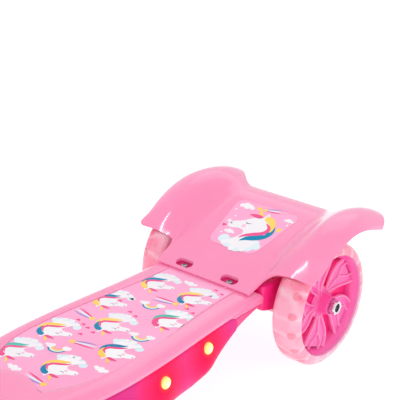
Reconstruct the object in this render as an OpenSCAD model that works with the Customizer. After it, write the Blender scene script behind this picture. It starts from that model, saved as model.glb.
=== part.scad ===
// Three-wheeled child's kick scooter: low moulded deck with light strips, twin-arch rear
// fender that is also the foot brake, two rear wheels, one steered front wheel and a
// telescopic tee handlebar. Millimetres, +X forwards, +Y to the rider's left, +Z up,
// origin on the ground at the middle of the overall box.

/* [Overall] */
// Distance between the rear and the front axle
wheelbase = 440; // [420:1:520]
// Outside diameter of all three wheels
wheel_d = 120; // [110:1:130]
// How far the fender arches reach behind the rear axle
tail = 84; // [78:1:110]
// Lean of the steering column from the vertical
rake = 8; // [0:0.5:12]
// Height of the cross bar above the bottom of the head tube, along the column
bar_rise = 490; // [440:1:600]

/* [Deck] */
// Height of the deck rim above the ground
deck_top = 86.9; // [80:0.1:100]
// Half width of the deck at its rear end
deck_rear_half = 58.5; // [52:0.5:60]
// Half width of the deck at its widest place
deck_wide_half = 67; // [60:0.5:80]
// Distance of the widest place from the rear axle
deck_wide_at = 245; // [220:1:270]
// Distance of the deck's rear face from the rear axle
deck_rear_at = 61; // [60:1:66]
// Height of the belly under the middle of the deck
belly_z = 30; // [26:0.5:36]
// Wall of the deck mouldings
deck_wall = 3; // [2:0.1:4]
// Height where the upper and lower mouldings meet
seam_z = 75; // [70:0.5:78]
// Width of the raised rim outside the mat
rim_band = 16; // [12:0.5:20]
// Thickness of the printed mat
mat_t = 0.5; // [0.3:0.1:1]
// How deep the mat lies below the rim
mat_sink = 0.6; // [0.2:0.1:1]

/* [Fender] */
// Thickness of the fender moulding
fender_t = 2.4; // [2:0.1:3]
// Half width of the fender across both arches
fender_half = 104.2; // [103:0.1:110]
// Distance of the lip from the rear axle
lip_at = 79; // [77:0.5:84]
// Height of the arch crests above the rear axle
arch_rise = 80.5; // [78:0.5:90]
// Distance of each screw from the middle line
screw_y = 26.7; // [20:0.1:34]

/* [Wheels] */
// Width of a tyre
tyre_w = 30; // [26:1:32]
// Distance from the middle line to the middle of a rear tyre
rear_track_half = 79.5; // [79:0.5:84]
// Outer radius of the wheel rim under the tyre
rim_r = 49.5; // [44:0.5:52]
// Radius of the axles
axle_r = 4; // [3.5:0.1:5]
// Number of spokes in a wheel
spokes = 5; // [3:1:7]

/* [Column] */
// Outside radius of the lower column tube
column_r = 14; // [13:0.1:16]
// Outside radius of the upper column tube and the cross bar
bar_r = 11; // [10:0.1:11.5]
// Wall of the column and bar tubes
tube_wall = 1.6; // [1.2:0.1:2]
// Length of the lower column tube above the bottom of the head tube
column_len = 300; // [260:1:340]
// Overall width of the handlebar
bar_width = 300; // [260:1:360]
// Radius of the streamer hole in each grip end
streamer_r = 3; // [2:0.1:5]

/* [Clearances] */
// Radial clearance of running fits
run_fit = 0.05; // [0.02:0.01:0.1]
// Gap between neighbouring pieces that move past each other
gap = 0.3; // [0.2:0.05:0.5]

/* [Hidden] */

$fn = 64;
wheel_r = wheel_d / 2;
front_reach = wheelbase + wheel_r;
rear_x = -(front_reach - tail) / 2;
front_x = rear_x + wheelbase;

// Steering column frame
head_drop = wheel_r + 18;
head_x = front_x - head_drop * sin(rake);
head_z = wheel_r + head_drop * cos(rake);
well_r = wheel_r + 9;
head_len = 52;
head_wall = 2.5;
bush_wall = 2.5;
head_r = column_r + bush_wall + head_wall;
neck_wall = 4;
neck_half = head_r + neck_wall;
neck_side = neck_half + 1;
neck_back = neck_half + 21;
neck_shoulder_len = 12;
neck_foot_len = 18;
neck_foot_h = 12;

// Deck outline and section
mat_rear_at = 80;
nose_gap = 55;
nose_len = wheelbase - nose_gap - deck_wide_at;
mat_nose_gap = 60;
mat_nose_len = nose_len - mat_nose_gap;
neck_foot_at = deck_wide_at + 0.75 * nose_len;
arc_r = 45;
arc_gap = 136;
arc_front_at = wheelbase - arc_gap;
belly_start = 48;
belly_run = 122;
belly_rise = 44;
side_top = 8;
side_flare = 5;
nose_lift_gap = 120;
nose_lift_at = wheelbase - nose_lift_gap;
nose_lift_run = 65;
nose_lift = 20;
led_at = [148.5, 211];
led_z = [67.5, 64];
led_bulge = 3;
led_spread = 14;
led_r = 5.5;
light_t = 2.5;
light_rear_at = 104;
light_gap = 140;
light_front_at = wheelbase - light_gap;
light_rear_z = 70;
light_rear_len = 8;
light_rear_half = 4;
light_full_at = 170;
light_low = belly_z + 9;
light_high = seam_z - 1;
boss_r = 5;
base_screw_x = [190, 250, 310];
base_screw_y = 34;
screw_r = 1.5;

// Fender shape
arch_front_at = 49;
arch_y = rear_track_half + 5.5;
arch_lean = 33;
arch_len = 97;
arch_peak = arch_y - 3;
arch_fillet = 9;
lip_half = 54.4;
lip_step = 1.6;
lip_z = deck_top + gap + fender_t - 0.3;
side_drop = 12;
tail_drop = 9;
tail_round = 24;
panel_end = 60;
arch_from = 46;
panel_slope = 0.37;
pocket_x = 71;
pocket_half = 8;
pocket_r = 4;
floor_t = 1.4;

// Wheel hub
bearing_r = 11;
bearing_w = 7;
hub_r = 14;
hub_half = 13.5;
rim_wall = 4.5;
rim_half = tyre_w / 2 - 1.5;
web_half = 3;
nut_h = 6.5;
nut_r = 7.5;
nut_sides = 6;

// Column and handlebar
crown_half = tyre_w / 2 + 12;
leg_t = 7;
handle_from = 150;
grip_r = 15;
grip_len = 88;
grip_cap = 10;
flange_r = 18;
socket_r = 15;
collar_r = column_r + 3.5;
collar_h = 28;
ear_x = -25;
pin_y = 15;
lever_len = 46;

module at_rear() { translate([rear_x, 0, 0]) children(); }
module at_axle() { translate([rear_x, 0, wheel_r]) children(); }
module at_head() { translate([head_x, 0, head_z]) rotate([0, -rake, 0]) children(); }
module at_front_axle() { at_head() translate([0, 0, -head_drop]) children(); }
module in_head() { translate([-rear_x, 0, 0]) at_head() children(); }
module both_sides() { children(); mirror([0, 1, 0]) children(); }
module along_y() { rotate([-90, 0, 0]) children(); }

module ring(outer, inner, h) {
    difference() {
        cylinder(r = outer, h = h);
        translate([0, 0, -1]) cylinder(r = inner, h = h + 2);
    }
}

// A freeform moulding, kept as one mesh of flat facets
module moulded() { resize([0, 0, 0]) children(); }

function ease(t) = t <= 0 ? 0 : t >= 1 ? 1 : (1 - cos(180 * t)) / 2;
function soft(t) = (min(1, max(0, t)) + ease(t)) / 2;
function bell(d) = exp(-d * d);

// Half width of the deck, drawn in by inset, at a distance x from the rear axle
function deck_half(x, inset) =
    x < deck_wide_at
    ? deck_rear_half - inset
      + (deck_wide_half - deck_rear_half) * ease((x - mat_rear_at) / (deck_wide_at - mat_rear_at))
    : (deck_wide_half - inset) * sqrt(max(0.02, 1 - pow((x - deck_wide_at) / (nose_len - inset), 2)));

// Half width of the mat
mat_wide = deck_wide_half - rim_band;
mat_slim = deck_rear_half - rim_band - 4;
function mat_half(x) =
    x < deck_wide_at
    ? mat_slim + (mat_wide - mat_slim) * ease((x - mat_rear_at) / (deck_wide_at - mat_rear_at))
    : mat_wide * sqrt(max(0, 1 - pow((x - deck_wide_at) / mat_nose_len, 2)));

function belly(x) = belly_z + belly_rise * (1 - soft((x - belly_start) / belly_run))
    + nose_lift * ease((x - nose_lift_at) / nose_lift_run);

// How far the side swells outwards at a share q of the way down
function bulge(x, q) = side_flare * ease((x - deck_rear_at - 24) / 70) * ease(q / 0.75)
    + led_bulge * bell(2.6 * (q - 0.6))
    * (bell((x - led_at[0]) / led_spread) + bell((x - led_at[1]) / led_spread));

// Right-hand half of one deck section, from the top middle round to the belly middle:
// [how far in from the side, how far down] on the rim, then on the side wall
rim_steps = [[15, 0], [10, 0.3], [6, 1.2], [3, 2.7], [1, 4.8]];
wall_steps = [[0, 0], [0.3, 0.3], [1, 0.5], [2.5, 0.7], [5, 0.85], [10, 0.95], [20, 1]];

function half_section(x, inset) =
    let (w = deck_half(x, inset), top = deck_top - inset, low = belly(x) + inset)
    concat([[0, top]],
           [for (p = rim_steps) [w - p[0] * w / deck_wide_half, top - p[1]]],
           [for (p = wall_steps) [w + (bulge(x, p[1]) - p[0]) * w / deck_wide_half,
                                  top - side_top - (top - side_top - low) * p[1]]],
           [[0, low]]);

function section(x, inset) =
    let (h = half_section(x, inset), n = len(h))
    concat([for (p = h) [x, p[0], p[1]]],
           [for (i = [n - 2:-1:1]) [x, -h[i][0], h[i][1]]]);

// Places of the sections, from the nose back to the rear face
function stations(inset) = concat([deck_wide_at + nose_len - inset - 0.5],
    [for (i = [23:-1:1]) deck_rear_at + (deck_wide_at + nose_len - deck_rear_at) * sin(90 * i / 24)],
    [deck_rear_at + inset]);

// Closed skin through a stack of rings that all have the same number of points
module skin(rings) {
    n = len(rings[0]);
    m = len(rings);
    polyhedron(
        points = [for (r = rings) each r],
        faces = concat(
            [[for (j = [0:n - 1]) j]],
            [for (i = [0:m - 2], j = [0:n - 1])
                [i * n + j, (i + 1) * n + j, (i + 1) * n + (j + 1) % n, i * n + (j + 1) % n]],
            [[for (j = [n - 1:-1:0]) (m - 1) * n + j]]),
        convexity = 6);
}

module deck_solid(inset) {
    skin([for (x = stations(inset)) section(x, inset)]);
}

module slab_at(z) { translate([0, -150, z]) cube([wheelbase + wheel_r, 300, 200]); }
module above(z) { slab_at(z); }
module below(z) { slab_at(z - 200); }
module wheel_well() { in_head() translate([0, 0, -160]) cylinder(r = well_r, h = 158); }

// Plan outline of the mat, with the front arc cut round the steering neck
module mat_outline(grow) {
    difference() {
        polygon([for (s = [1, -1], i = [0:30])
            let (k = s > 0 ? i : 30 - i,
                 x = mat_rear_at + (deck_wide_at + mat_nose_len - mat_rear_at) * sin(90 * k / 30))
            [x + (k > 15 ? grow : 0), s * (mat_half(x) + grow)]]);
        translate([arc_front_at + arc_r, 0]) circle(r = arc_r - grow);
    }
}

// Side view of the light strip: round-ended and tapered at the rear, cut off at the front
module light_outline(grow) {
    polygon([for (a = [90:15:270])
                 [light_rear_at + light_rear_len - 1 + (light_rear_len + grow) * cos(a),
                  light_rear_z + (light_rear_half + grow) * sin(a)],
             [light_full_at, light_low - grow], [light_front_at + grow, light_low - grow],
             [light_front_at + grow, light_high + grow], [light_full_at, light_high + grow]]);
}

module light_window(grow) {
    rotate([90, 0, 0]) mirror([0, 0, 1]) translate([0, 0, 25]) linear_extrude(80) light_outline(grow);
}

module led_holes(r) {
    for (i = [0:1]) translate([led_at[i], 0, led_z[i]]) along_y() cylinder(r = r, h = 90);
}

// Neck: a foot on the deck's nose, a shoulder behind the head tube and a sleeve round it
module neck_foot() {
    translate([neck_foot_at, -neck_side, seam_z - 5]) cube([neck_foot_len, 2 * neck_side, neck_foot_h]);
}
module neck_shoulder() {
    in_head() translate([-neck_back, -neck_side, gap]) cube([neck_shoulder_len, 2 * neck_side, 10]);
}
module neck() {
    hull() {
        neck_foot();
        neck_shoulder();
    }
    hull() {
        neck_shoulder();
        in_head() translate([0, 0, gap]) cylinder(r = neck_half, h = head_len - 2 * gap, $fn = 32);
    }
}

module deck_shell() {
    color("hotpink") moulded($fn = 24) at_rear() {
        difference() {
            union() {
                difference() {
                    intersection() {
                        deck_solid(0);
                        above(seam_z);
                    }
                    deck_solid(deck_wall);
                    wheel_well();
                    translate([0, 0, deck_top - mat_sink - mat_t]) linear_extrude(10) mat_outline(0.2);
                }
                neck();
                for (x = base_screw_x, s = [1, -1])
                    translate([x, s * base_screw_y, belly_z + deck_wall + 6])
                        cylinder(r = boss_r, h = deck_top - belly_z - 2 * deck_wall - 6 + 1);
                for (s = [1, -1])
                    translate([pocket_x, s * screw_y, seam_z + 2])
                        cylinder(r = boss_r, h = deck_top - seam_z - deck_wall - 1);
            }
            in_head() translate([0, 0, -5])
                cylinder(r = head_r + 0.1, h = head_len + 30, $fn = 96);
            for (x = base_screw_x, s = [1, -1])
                translate([x, s * base_screw_y, 0]) cylinder(r = screw_r + 0.1, h = belly_z + 28);
            for (s = [1, -1])
                translate([pocket_x, s * screw_y, seam_z + 3]) cylinder(r = screw_r + 0.1, h = 30);
        }
    }
}

module deck_base() {
    color("hotpink") moulded($fn = 24) at_rear() difference() {
        intersection() {
            deck_solid(0);
            below(seam_z);
        }
        deck_solid(deck_wall);
        wheel_well();
        both_sides() light_window(0.1);
        translate([cover_from - 0.2, -cover_half - 0.2, belly_z - 5])
            cube([cover_len + 0.4, 2 * cover_half + 0.4, 20]);
        for (x = base_screw_x, s = [1, -1]) translate([x, s * base_screw_y, 0]) {
            cylinder(r = screw_r + 0.5, h = belly_z + 20);
            cylinder(r = 3.4, h = belly_z + 1.2);
        }
    }
}

module deck_mat() {
    color("pink") at_rear() translate([0, 0, deck_top - mat_sink - mat_t]) linear_extrude(mat_t) mat_outline(0);
}

module side_light() {
    difference() {
        intersection() {
            difference() {
                deck_solid(0);
                deck_solid(light_t);
            }
            light_window(0);
        }
        led_holes(led_r);
    }
}
module side_light_left() { color("deeppink") moulded($fn = 32) at_rear() side_light(); }
module side_light_right() { color("deeppink") moulded($fn = 32) at_rear() mirror([0, 1, 0]) side_light(); }

// Distance of the side's outer face from the middle line at a lamp
function led_y(i) =
    let (x = led_at[i], high = deck_top - side_top, q = (high - led_z[i]) / (high - belly(x)))
    deck_half(x, 0) + bulge(x, q) * deck_half(x, 0) / deck_wide_half;
module led_domes() {
    color("gold") at_rear() both_sides() for (i = [0:1])
        translate([led_at[i], led_y(i) - 8, led_z[i]]) along_y() {
            cylinder(r = led_r - 0.1, h = 7.4);
            intersection() {
                translate([0, 0, 7.4 - 9]) sphere(r = sqrt(81 + pow(led_r - 0.1, 2)));
                translate([0, 0, 7.4]) cylinder(r = led_r - 0.1, h = 4);
            }
        }
}

// Battery bay in the belly
cover_from = 205;
cover_len = 70;
cover_half = 26;
cell_r = 7;
cell_len = 50;

module battery_cover() {
    color("hotpink") at_rear() translate([cover_from, -cover_half, belly_z])
        cube([cover_len, 2 * cover_half, deck_wall]);
}

module battery_box() {
    color("dimgray") at_rear() translate([cover_from + 3, -cover_half + 2, belly_z + deck_wall + 0.2]) difference() {
        cube([cover_len - 6, 2 * cover_half - 4, 18]);
        translate([3, 2, -1]) cube([cover_len - 12, 2 * cover_half - 8, 17]);
    }
}

module batteries() {
    color("silver") at_rear() for (i = [-1:1])
        translate([cover_from + 10, i * (2 * cell_r + 0.6), belly_z + deck_wall + cell_r + 0.6])
            rotate([0, 90, 0]) cylinder(r = cell_r, h = cell_len);
}

module circuit_board() {
    color("green") at_rear() translate([150, -16, deck_top - deck_wall - 10]) cube([44, 32, 1.6]);
}

module motion_switch() {
    color("black") at_rear() translate([162, 0, deck_top - deck_wall - 8.4]) cylinder(r = 4, h = 6);
}

module base_screws() {
    color("silver") at_rear() for (x = base_screw_x, s = [1, -1])
        translate([x, s * base_screw_y, belly_z + 0.4]) {
            cylinder(r = screw_r, h = 22);
            cylinder(r = 3.2, h = 0.8);
        }
}

// Hot pink bracket between the rear wheels, open underneath, with the axle tube across it
housing_half = 58;
housing_top = 90;
housing_low = 44;
housing_rear = -20;
housing_front = deck_rear_at;
housing_corner = 9;
housing_wall = 3.5;
module rear_axle_housing() {
    color("deeppink") at_rear() difference() {
        union() {
            difference() {
                housing_block(0);
                translate([0, 0, -1]) housing_block(housing_wall);
            }
            translate([0, -housing_half, wheel_r]) along_y() cylinder(r = 12, h = 2 * housing_half);
            for (y = [-30, 0, 30]) translate([-14, y - 1.5, wheel_r - 4]) cube([70, 3, housing_top - wheel_r]);
        }
        translate([0, -100, wheel_r]) along_y() cylinder(r = axle_r, h = 200);
    }
}

module housing_block(inset) {
    long = housing_front - housing_rear;
    wide = 2 * (housing_half - inset);
    intersection() {
        translate([0, 0, housing_low]) linear_extrude(housing_top - housing_low - inset) union() {
            translate([housing_rear + inset, -wide / 2]) square([long - housing_corner - inset, wide]);
            translate([housing_rear + inset, housing_corner - wide / 2])
                square([long - 2 * inset, wide - 2 * housing_corner]);
            for (s = [1, -1])
                translate([housing_front - housing_corner - inset, s * (wide / 2 - housing_corner)])
                    circle(r = housing_corner);
        }
        translate([0, 100, 0]) rotate([90, 0, 0]) linear_extrude(200)
            polygon([[housing_rear + inset, housing_low + 8 + inset], [housing_rear + 14, housing_low - 4],
                     [housing_front - 16, housing_low - 4], [housing_front - inset, wheel_r + 2],
                     [housing_front - inset, housing_top], [housing_rear + 8, housing_top - inset],
                     [housing_rear + inset, housing_top - 12]]);
    }
}

module rear_axle() {
    reach = rear_track_half + hub_half + nut_h + 5;
    color("silver") at_axle() translate([0, -reach, 0]) along_y() cylinder(r = axle_r, h = 2 * reach);
}

module nut(h) {
    difference() {
        cylinder(r = nut_r, h = h, $fn = nut_sides);
        translate([0, 0, -1]) cylinder(r = axle_r, h = h + 2);
    }
}

module rear_axle_nuts() {
    color("silver") at_axle() both_sides()
        translate([0, rear_track_half + hub_half + 2 * gap + 1.5, 0]) along_y() nut(nut_h);
}

module rear_axle_spacers() {
    inner = rear_track_half - hub_half - gap;
    color("gray") at_axle() both_sides() {
        translate([0, housing_half, 0]) along_y() ring(7, axle_r, inner - housing_half);
        translate([0, rear_track_half + hub_half + gap, 0]) along_y() ring(7, axle_r, 1.5);
    }
}

// Height of the fender's outer face over the ground plan, x forwards from the rear axle
function panel_z(x) =
    let (u = lip_at - x)
    lip_z + panel_slope * u - 0.0004 * u * u - 0.009 * pow(max(0, u - 109), 2);
function crest_z(x) = wheel_r + arch_rise * sqrt(max(0, 1 - pow((x + arch_lean) / arch_len, 2)));
function arch_side(x) = side_drop * ease((arch_front_at - x) / 18) + tail_drop * ease((-x - 10) / 60);
function arch_foot(x) = lip_half + lip_step - arch_fillet * ease((arch_front_at + 5 - x) / 30);
function arch_share(t) = 0.45 * pow(sin(90 * t), 1.15) + 0.55 * ease(t);
function fender_z(x, y) =
    let (a = abs(y), foot = arch_foot(x), crest = crest_z(x), panel = panel_z(x))
    a <= foot ? panel
    : a <= arch_peak ? panel + (crest - panel) * arch_share((a - foot) / (arch_peak - foot))
    : crest - arch_side(x) * (1 - sqrt(1 - pow(0.98 * (a - arch_peak) / (fender_half - arch_peak), 2)));

// Front and rear edge of the fender at a distance y from the middle line
function front_edge(y) =
    let (a = abs(y))
    a <= lip_half ? lip_at : arch_front_at + (lip_at - arch_front_at) * pow(max(0, 1 - (a - lip_half) / 9), 3) * 0.6;
function rear_edge(y) =
    let (a = abs(y), v = max(0, (a - arch_y) / (fender_half - arch_y)))
    -(panel_end + (tail - panel_end) * ease((a - arch_from) / (arch_peak - arch_from))
      - tail_round * (1 - sqrt(1 - pow(0.98 * v, 2))));

cross_y = concat([for (i = [0:4]) (lip_half - arch_fillet) * i / 4],
                 [for (i = [1:3]) lip_half + arch_fillet * (i / 3 - 1)],
                 [for (i = [0:9]) lip_half + lip_step + (arch_peak - lip_half - lip_step) * i / 9],
                 [for (i = [1:8]) arch_peak + (fender_half - arch_peak) * sin(90 * i / 8)]);
lanes = concat([for (i = [len(cross_y) - 1:-1:1]) -cross_y[i]], cross_y);
rows = 26;

function fender_point(i, j) =
    let (y = lanes[j], t = i / rows, x = front_edge(y) + (rear_edge(y) - front_edge(y)) * t)
    [x, y, fender_z(x, y)];
function inner_point(p) =
    let (d = 0.5, sx = (fender_z(p[0] + d, p[1]) - fender_z(p[0] - d, p[1])) / (2 * d),
         inward = p[1] > 0 ? -d : d,
         sy = p[1] == 0 ? 0 : (fender_z(p[0], p[1] + inward) - fender_z(p[0], p[1])) / inward,
         n = [-min(2, max(-2, sx)), -min(4, max(-4, sy)), 1])
    p - n * (fender_t / norm(n));

module fender_sheet() {
    outer = [for (i = [0:rows]) [for (j = [0:len(lanes) - 1]) fender_point(i, j)]];
    rings = [for (r = outer) concat(r, [for (j = [len(r) - 1:-1:0]) inner_point(r[j])])];
    skin(rings);
}

module pocket(grow, h) {
    hull() for (s = [1, -1]) translate([0, s * (pocket_half - pocket_r), 0])
        cylinder(r = pocket_r + grow, h = h);
}

// Everything below the middle of the panel's wall, near its lip
module under_panel() {
    translate([lip_at, 0, lip_z - 0.6 * fender_t]) rotate([0, atan(panel_slope), 0])
        translate([-60, -100, -40]) cube([80, 200, 40]);
}

module fender() {
    floor_z = deck_top + gap;
    color("hotpink") moulded($fn = 24) at_rear() difference() {
        union() {
            fender_sheet();
            intersection() {
                for (s = [1, -1]) translate([pocket_x, s * screw_y, floor_z]) pocket(1.3, 12);
                under_panel();
            }
        }
        for (s = [1, -1]) translate([pocket_x, s * screw_y, floor_z]) {
            translate([0, 0, floor_t]) pocket(0, 20);
            translate([0, 0, -1]) cylinder(r = screw_r + 0.8, h = 10);
        }
    }
}

// Thin printed label that follows the panel between its four corners
sticker_t = 0.3;
sticker_front = 34;
sticker_rear = -28;
sticker_lift = 0.01;
function sticker_half(x) = 27 + 10 * (sticker_front - x) / (sticker_front - sticker_rear);
module fender_sticker() {
    steps = 12;
    color("pink") at_rear() skin([for (i = [0:steps])
        let (x = sticker_front + (sticker_rear - sticker_front) * i / steps, h = sticker_half(x),
             z = panel_z(x) + sticker_lift)
        [[x, -h, z + sticker_t], [x, h, z + sticker_t], [x, h, z], [x, -h, z]]]);
}

module fender_screws() {
    head_z = deck_top + 2 * gap + floor_t;
    color("silver") at_rear() for (s = [1, -1]) translate([pocket_x, s * screw_y, head_z]) {
        cylinder(r = 3.4, h = 1.6);
        translate([0, 0, -10]) cylinder(r = screw_r, h = 10);
    }
}

// Wheel pieces, each standing on its middle plane with the axle along Z
module rim() {
    petal_r = rim_r - rim_wall - 3;
    difference() {
        union() {
            translate([0, 0, -rim_half]) ring(rim_r, rim_r - rim_wall, 2 * rim_half);
            translate([0, 0, -web_half]) cylinder(r = rim_r - rim_wall, h = 2 * web_half);
            translate([0, 0, -hub_half]) cylinder(r = hub_r, h = 2 * hub_half);
        }
        translate([0, 0, -hub_half - 1]) cylinder(r = axle_r + 3, h = 2 * hub_half + 2);
        for (s = [-1, 1]) translate([0, 0, s > 0 ? hub_half - bearing_w : -hub_half - 1])
            cylinder(r = bearing_r, h = bearing_w + 1);
        for (i = [0:spokes - 1]) rotate([0, 0, 360 * i / spokes])
            translate([0, 0, -10]) linear_extrude(20) petal(hub_r + 3, petal_r, 360 / spokes * 0.32);
    }
}

// Opening between two spokes: narrow at the hub, wide at the rim, swept round as it goes out
module petal(r0, r1, half_a) {
    steps = 10;
    sweep = 24;
    polygon(concat(
        [for (i = [0:steps]) let (t = i / steps, r = r0 + (r1 - r0) * t, a = sweep * t - half_a * sin(90 * t) - 4)
            [r * cos(a), r * sin(a)]],
        [for (i = [steps:-1:0]) let (t = i / steps, r = r0 + (r1 - r0) * t, a = sweep * t + half_a * sin(90 * t) + 4)
            [r * cos(a), r * sin(a)]]));
}

module tyre() {
    h = tyre_w / 2;
    shoulder = min(7, 0.65 * (wheel_r - rim_r));
    rotate_extrude($fn = 96) difference() {
        union() {
            translate([rim_r, -h]) square([wheel_r - shoulder - rim_r, tyre_w]);
            translate([rim_r, shoulder - h]) square([wheel_r - rim_r, tyre_w - 2 * shoulder]);
            for (s = [1, -1]) translate([wheel_r - shoulder, s * (h - shoulder)]) circle(r = shoulder, $fn = 32);
        }
        translate([0, -100]) square([rim_r, 200]);
    }
}

module bearings() {
    for (s = [-1, 1]) translate([0, 0, s > 0 ? hub_half - bearing_w : -hub_half])
        ring(bearing_r, axle_r + run_fit, bearing_w);
}

module bush() {
    half = hub_half - bearing_w;
    translate([0, 0, -half]) ring(axle_r + 2.5, axle_r + gap, 2 * half);
}

module on_rear_wheel(side) {
    at_axle() translate([0, side * rear_track_half, 0]) along_y() children();
}

module rear_rim_left() { color("deeppink") on_rear_wheel(1) rim(); }
module rear_tyre_left() { color("lightpink") on_rear_wheel(1) tyre(); }
module rear_bearings_left() { color("silver") on_rear_wheel(1) bearings(); }
module rear_bush_left() { color("gray") on_rear_wheel(1) bush(); }
module rear_rim_right() { color("deeppink") on_rear_wheel(-1) rim(); }
module rear_tyre_right() { color("lightpink") on_rear_wheel(-1) tyre(); }
module rear_bearings_right() { color("silver") on_rear_wheel(-1) bearings(); }
module rear_bush_right() { color("gray") on_rear_wheel(-1) bush(); }
module front_rim() { color("deeppink") at_front_axle() along_y() rim(); }
module front_tyre() { color("lightpink") at_front_axle() along_y() tyre(); }
module front_bearings() { color("silver") at_front_axle() along_y() bearings(); }
module front_bush() { color("gray") at_front_axle() along_y() bush(); }

module head_tube() { color("silver") at_head() ring(head_r, head_r - head_wall, head_len); }

module head_bushes() {
    flange_t = 2.5;
    inner = column_r + run_fit;
    color("dimgray") at_head() {
        ring(head_r - head_wall, inner, 10);
        translate([0, 0, -flange_t]) ring(head_r + 1, inner, flange_t);
        translate([0, 0, head_len - 10]) ring(head_r - head_wall, inner, 10);
        translate([0, 0, head_len]) ring(head_r + 1, inner, flange_t);
    }
}

// Fork: crown over the tyre and a leg down each side to the axle
crown_low = -14;
crown_high = -2.5 - gap;
module fork() {
    color("deeppink") at_head() difference() {
        union() {
            translate([0, 0, crown_low]) linear_extrude(crown_high - crown_low) union() {
                square([30, 2 * crown_half], center = true);
                circle(r = head_r + 2);
            }
            both_sides() translate([0, crown_half - leg_t, 0]) {
                translate([-15, 0, -head_drop]) cube([30, leg_t, head_drop + crown_high]);
                translate([0, 0, -head_drop]) along_y() cylinder(r = 15, h = leg_t);
            }
        }
        translate([0, 0, crown_low - 1]) cylinder(r = column_r, h = 20);
        translate([0, -50, -head_drop]) along_y() cylinder(r = axle_r, h = 100);
    }
}

module column_tube() {
    color("silver") at_head() translate([0, 0, crown_low]) ring(column_r, column_r - tube_wall, column_len - crown_low);
}

module stop_collar() {
    color("dimgray") at_head() translate([0, 0, head_len + 2.5 + gap]) ring(head_r, column_r, 11);
}

module front_axle() {
    reach = crown_half + nut_h + 4;
    color("silver") at_front_axle() translate([0, -reach, 0]) along_y() cylinder(r = axle_r, h = 2 * reach);
}

module front_axle_nuts() {
    color("silver") at_front_axle() both_sides() translate([0, crown_half, 0]) along_y() nut(nut_h);
}

module front_axle_spacers() {
    color("gray") at_front_axle() both_sides() translate([0, hub_half + gap, 0]) along_y()
        ring(7, axle_r, crown_half - leg_t - hub_half - gap);
}

module column_bush() {
    depth = 40;
    color("dimgray") at_head() translate([0, 0, column_len - depth])
        ring(column_r - tube_wall, bar_r + run_fit, depth);
}

// Clamp collar at the top of the lower tube, split at the back between two ears
module clamp_collar() {
    color("dimgray") at_head() translate([0, 0, column_len - collar_h + 8]) difference() {
        union() {
            cylinder(r = collar_r, h = collar_h);
            translate([ear_x - 7, -7, 2]) cube([-ear_x - 3, 14, collar_h - 4]);
        }
        translate([0, 0, -1]) cylinder(r = column_r, h = collar_h - 7);
        translate([0, 0, -1]) cylinder(r = bar_r + gap, h = collar_h + 2);
        translate([ear_x - 10, -1, -1]) cube([-ear_x, 2, collar_h + 2]);
        translate([ear_x, -20, collar_h / 2]) along_y() cylinder(r = 3, h = 40);
    }
}

module clamp_bolt() {
    color("silver") at_head() translate([ear_x, 0, column_len + 8 - collar_h / 2]) {
        translate([0, -7, 0]) along_y() cylinder(r = 3, h = pin_y + 7 - 2.5);
        translate([0, -11, 0]) along_y() cylinder(r = 5.5, h = 4, $fn = nut_sides);
        translate([0, pin_y, -5]) difference() {
            cylinder(r = 4, h = 10);
            translate([0, 0, -1]) cylinder(r = 2.5, h = 12);
        }
    }
}

module lever_pin() {
    color("silver") at_head() translate([ear_x, pin_y, column_len + 8 - collar_h / 2 - 10])
        cylinder(r = 2.5, h = 20);
}

module clamp_lever() {
    color("dimgray") at_head() translate([ear_x, pin_y, column_len + 8 - collar_h / 2 - 9]) difference() {
        union() {
            cylinder(r = 5.5, h = 18);
            translate([0, 0, 0]) cube([10, 5.5, 18]);
            hull() {
                translate([4, 4.5, 0]) cube([2, 5, 18]);
                translate([lever_len - 4, 7, 9]) along_y() cylinder(r = 7, h = 4, $fn = 32);
            }
        }
        translate([0, 0, -1]) cylinder(r = 2.5 + run_fit, h = 20);
        translate([-8, -8, 4 - gap]) cube([13.5, 13.4, 10 + 2 * gap]);
    }
}

module handle_tube() {
    color("silver") at_head() translate([0, 0, handle_from]) ring(bar_r, bar_r - tube_wall, bar_rise - handle_from - bar_r - 1);
}

module tee_socket() {
    low = bar_rise - 50;
    color("deeppink") at_head() difference() {
        union() {
            translate([0, 0, low]) cylinder(r = socket_r - 1, h = bar_rise - low);
            translate([0, -38, bar_rise]) along_y() cylinder(r = socket_r, h = 76);
        }
        translate([0, 0, low - 1]) cylinder(r = bar_r, h = bar_rise - low - bar_r);
        translate([0, -50, bar_rise]) along_y() cylinder(r = bar_r, h = 100);
    }
}

module cross_bar() {
    reach = bar_width / 2 - grip_cap;
    color("silver") at_head() translate([0, -reach, bar_rise]) along_y() ring(bar_r, bar_r - tube_wall, 2 * reach);
}

module grip() {
    at_head() translate([0, bar_width / 2 - grip_len, bar_rise]) along_y() difference() {
        union() {
            cylinder(r = grip_r, h = grip_len);
            cylinder(r = flange_r, h = 4);
            translate([0, 0, grip_len - 4]) cylinder(r = flange_r, h = 4);
        }
        translate([0, 0, -1]) cylinder(r = bar_r, h = grip_len - grip_cap + 1);
        cylinder(r = streamer_r, h = grip_len + 1);
    }
}
module grip_left() { color("pink") grip(); }
module grip_right() { color("pink") mirror([0, 1, 0]) grip(); }

deck_shell();
deck_base();
deck_mat();
side_light_left();
side_light_right();
led_domes();
circuit_board();
motion_switch();
battery_box();
batteries();
battery_cover();
base_screws();
rear_axle_housing();
rear_axle();
rear_axle_nuts();
rear_axle_spacers();
fender();
fender_sticker();
fender_screws();
rear_rim_left();
rear_tyre_left();
rear_bearings_left();
rear_bush_left();
rear_rim_right();
rear_tyre_right();
rear_bearings_right();
rear_bush_right();
head_tube();
head_bushes();
fork();
column_tube();
stop_collar();
front_axle();
front_axle_nuts();
front_axle_spacers();
front_rim();
front_tyre();
front_bearings();
front_bush();
column_bush();
clamp_collar();
clamp_bolt();
lever_pin();
clamp_lever();
handle_tube();
tee_socket();
cross_bar();
grip_left();
grip_right();
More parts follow.
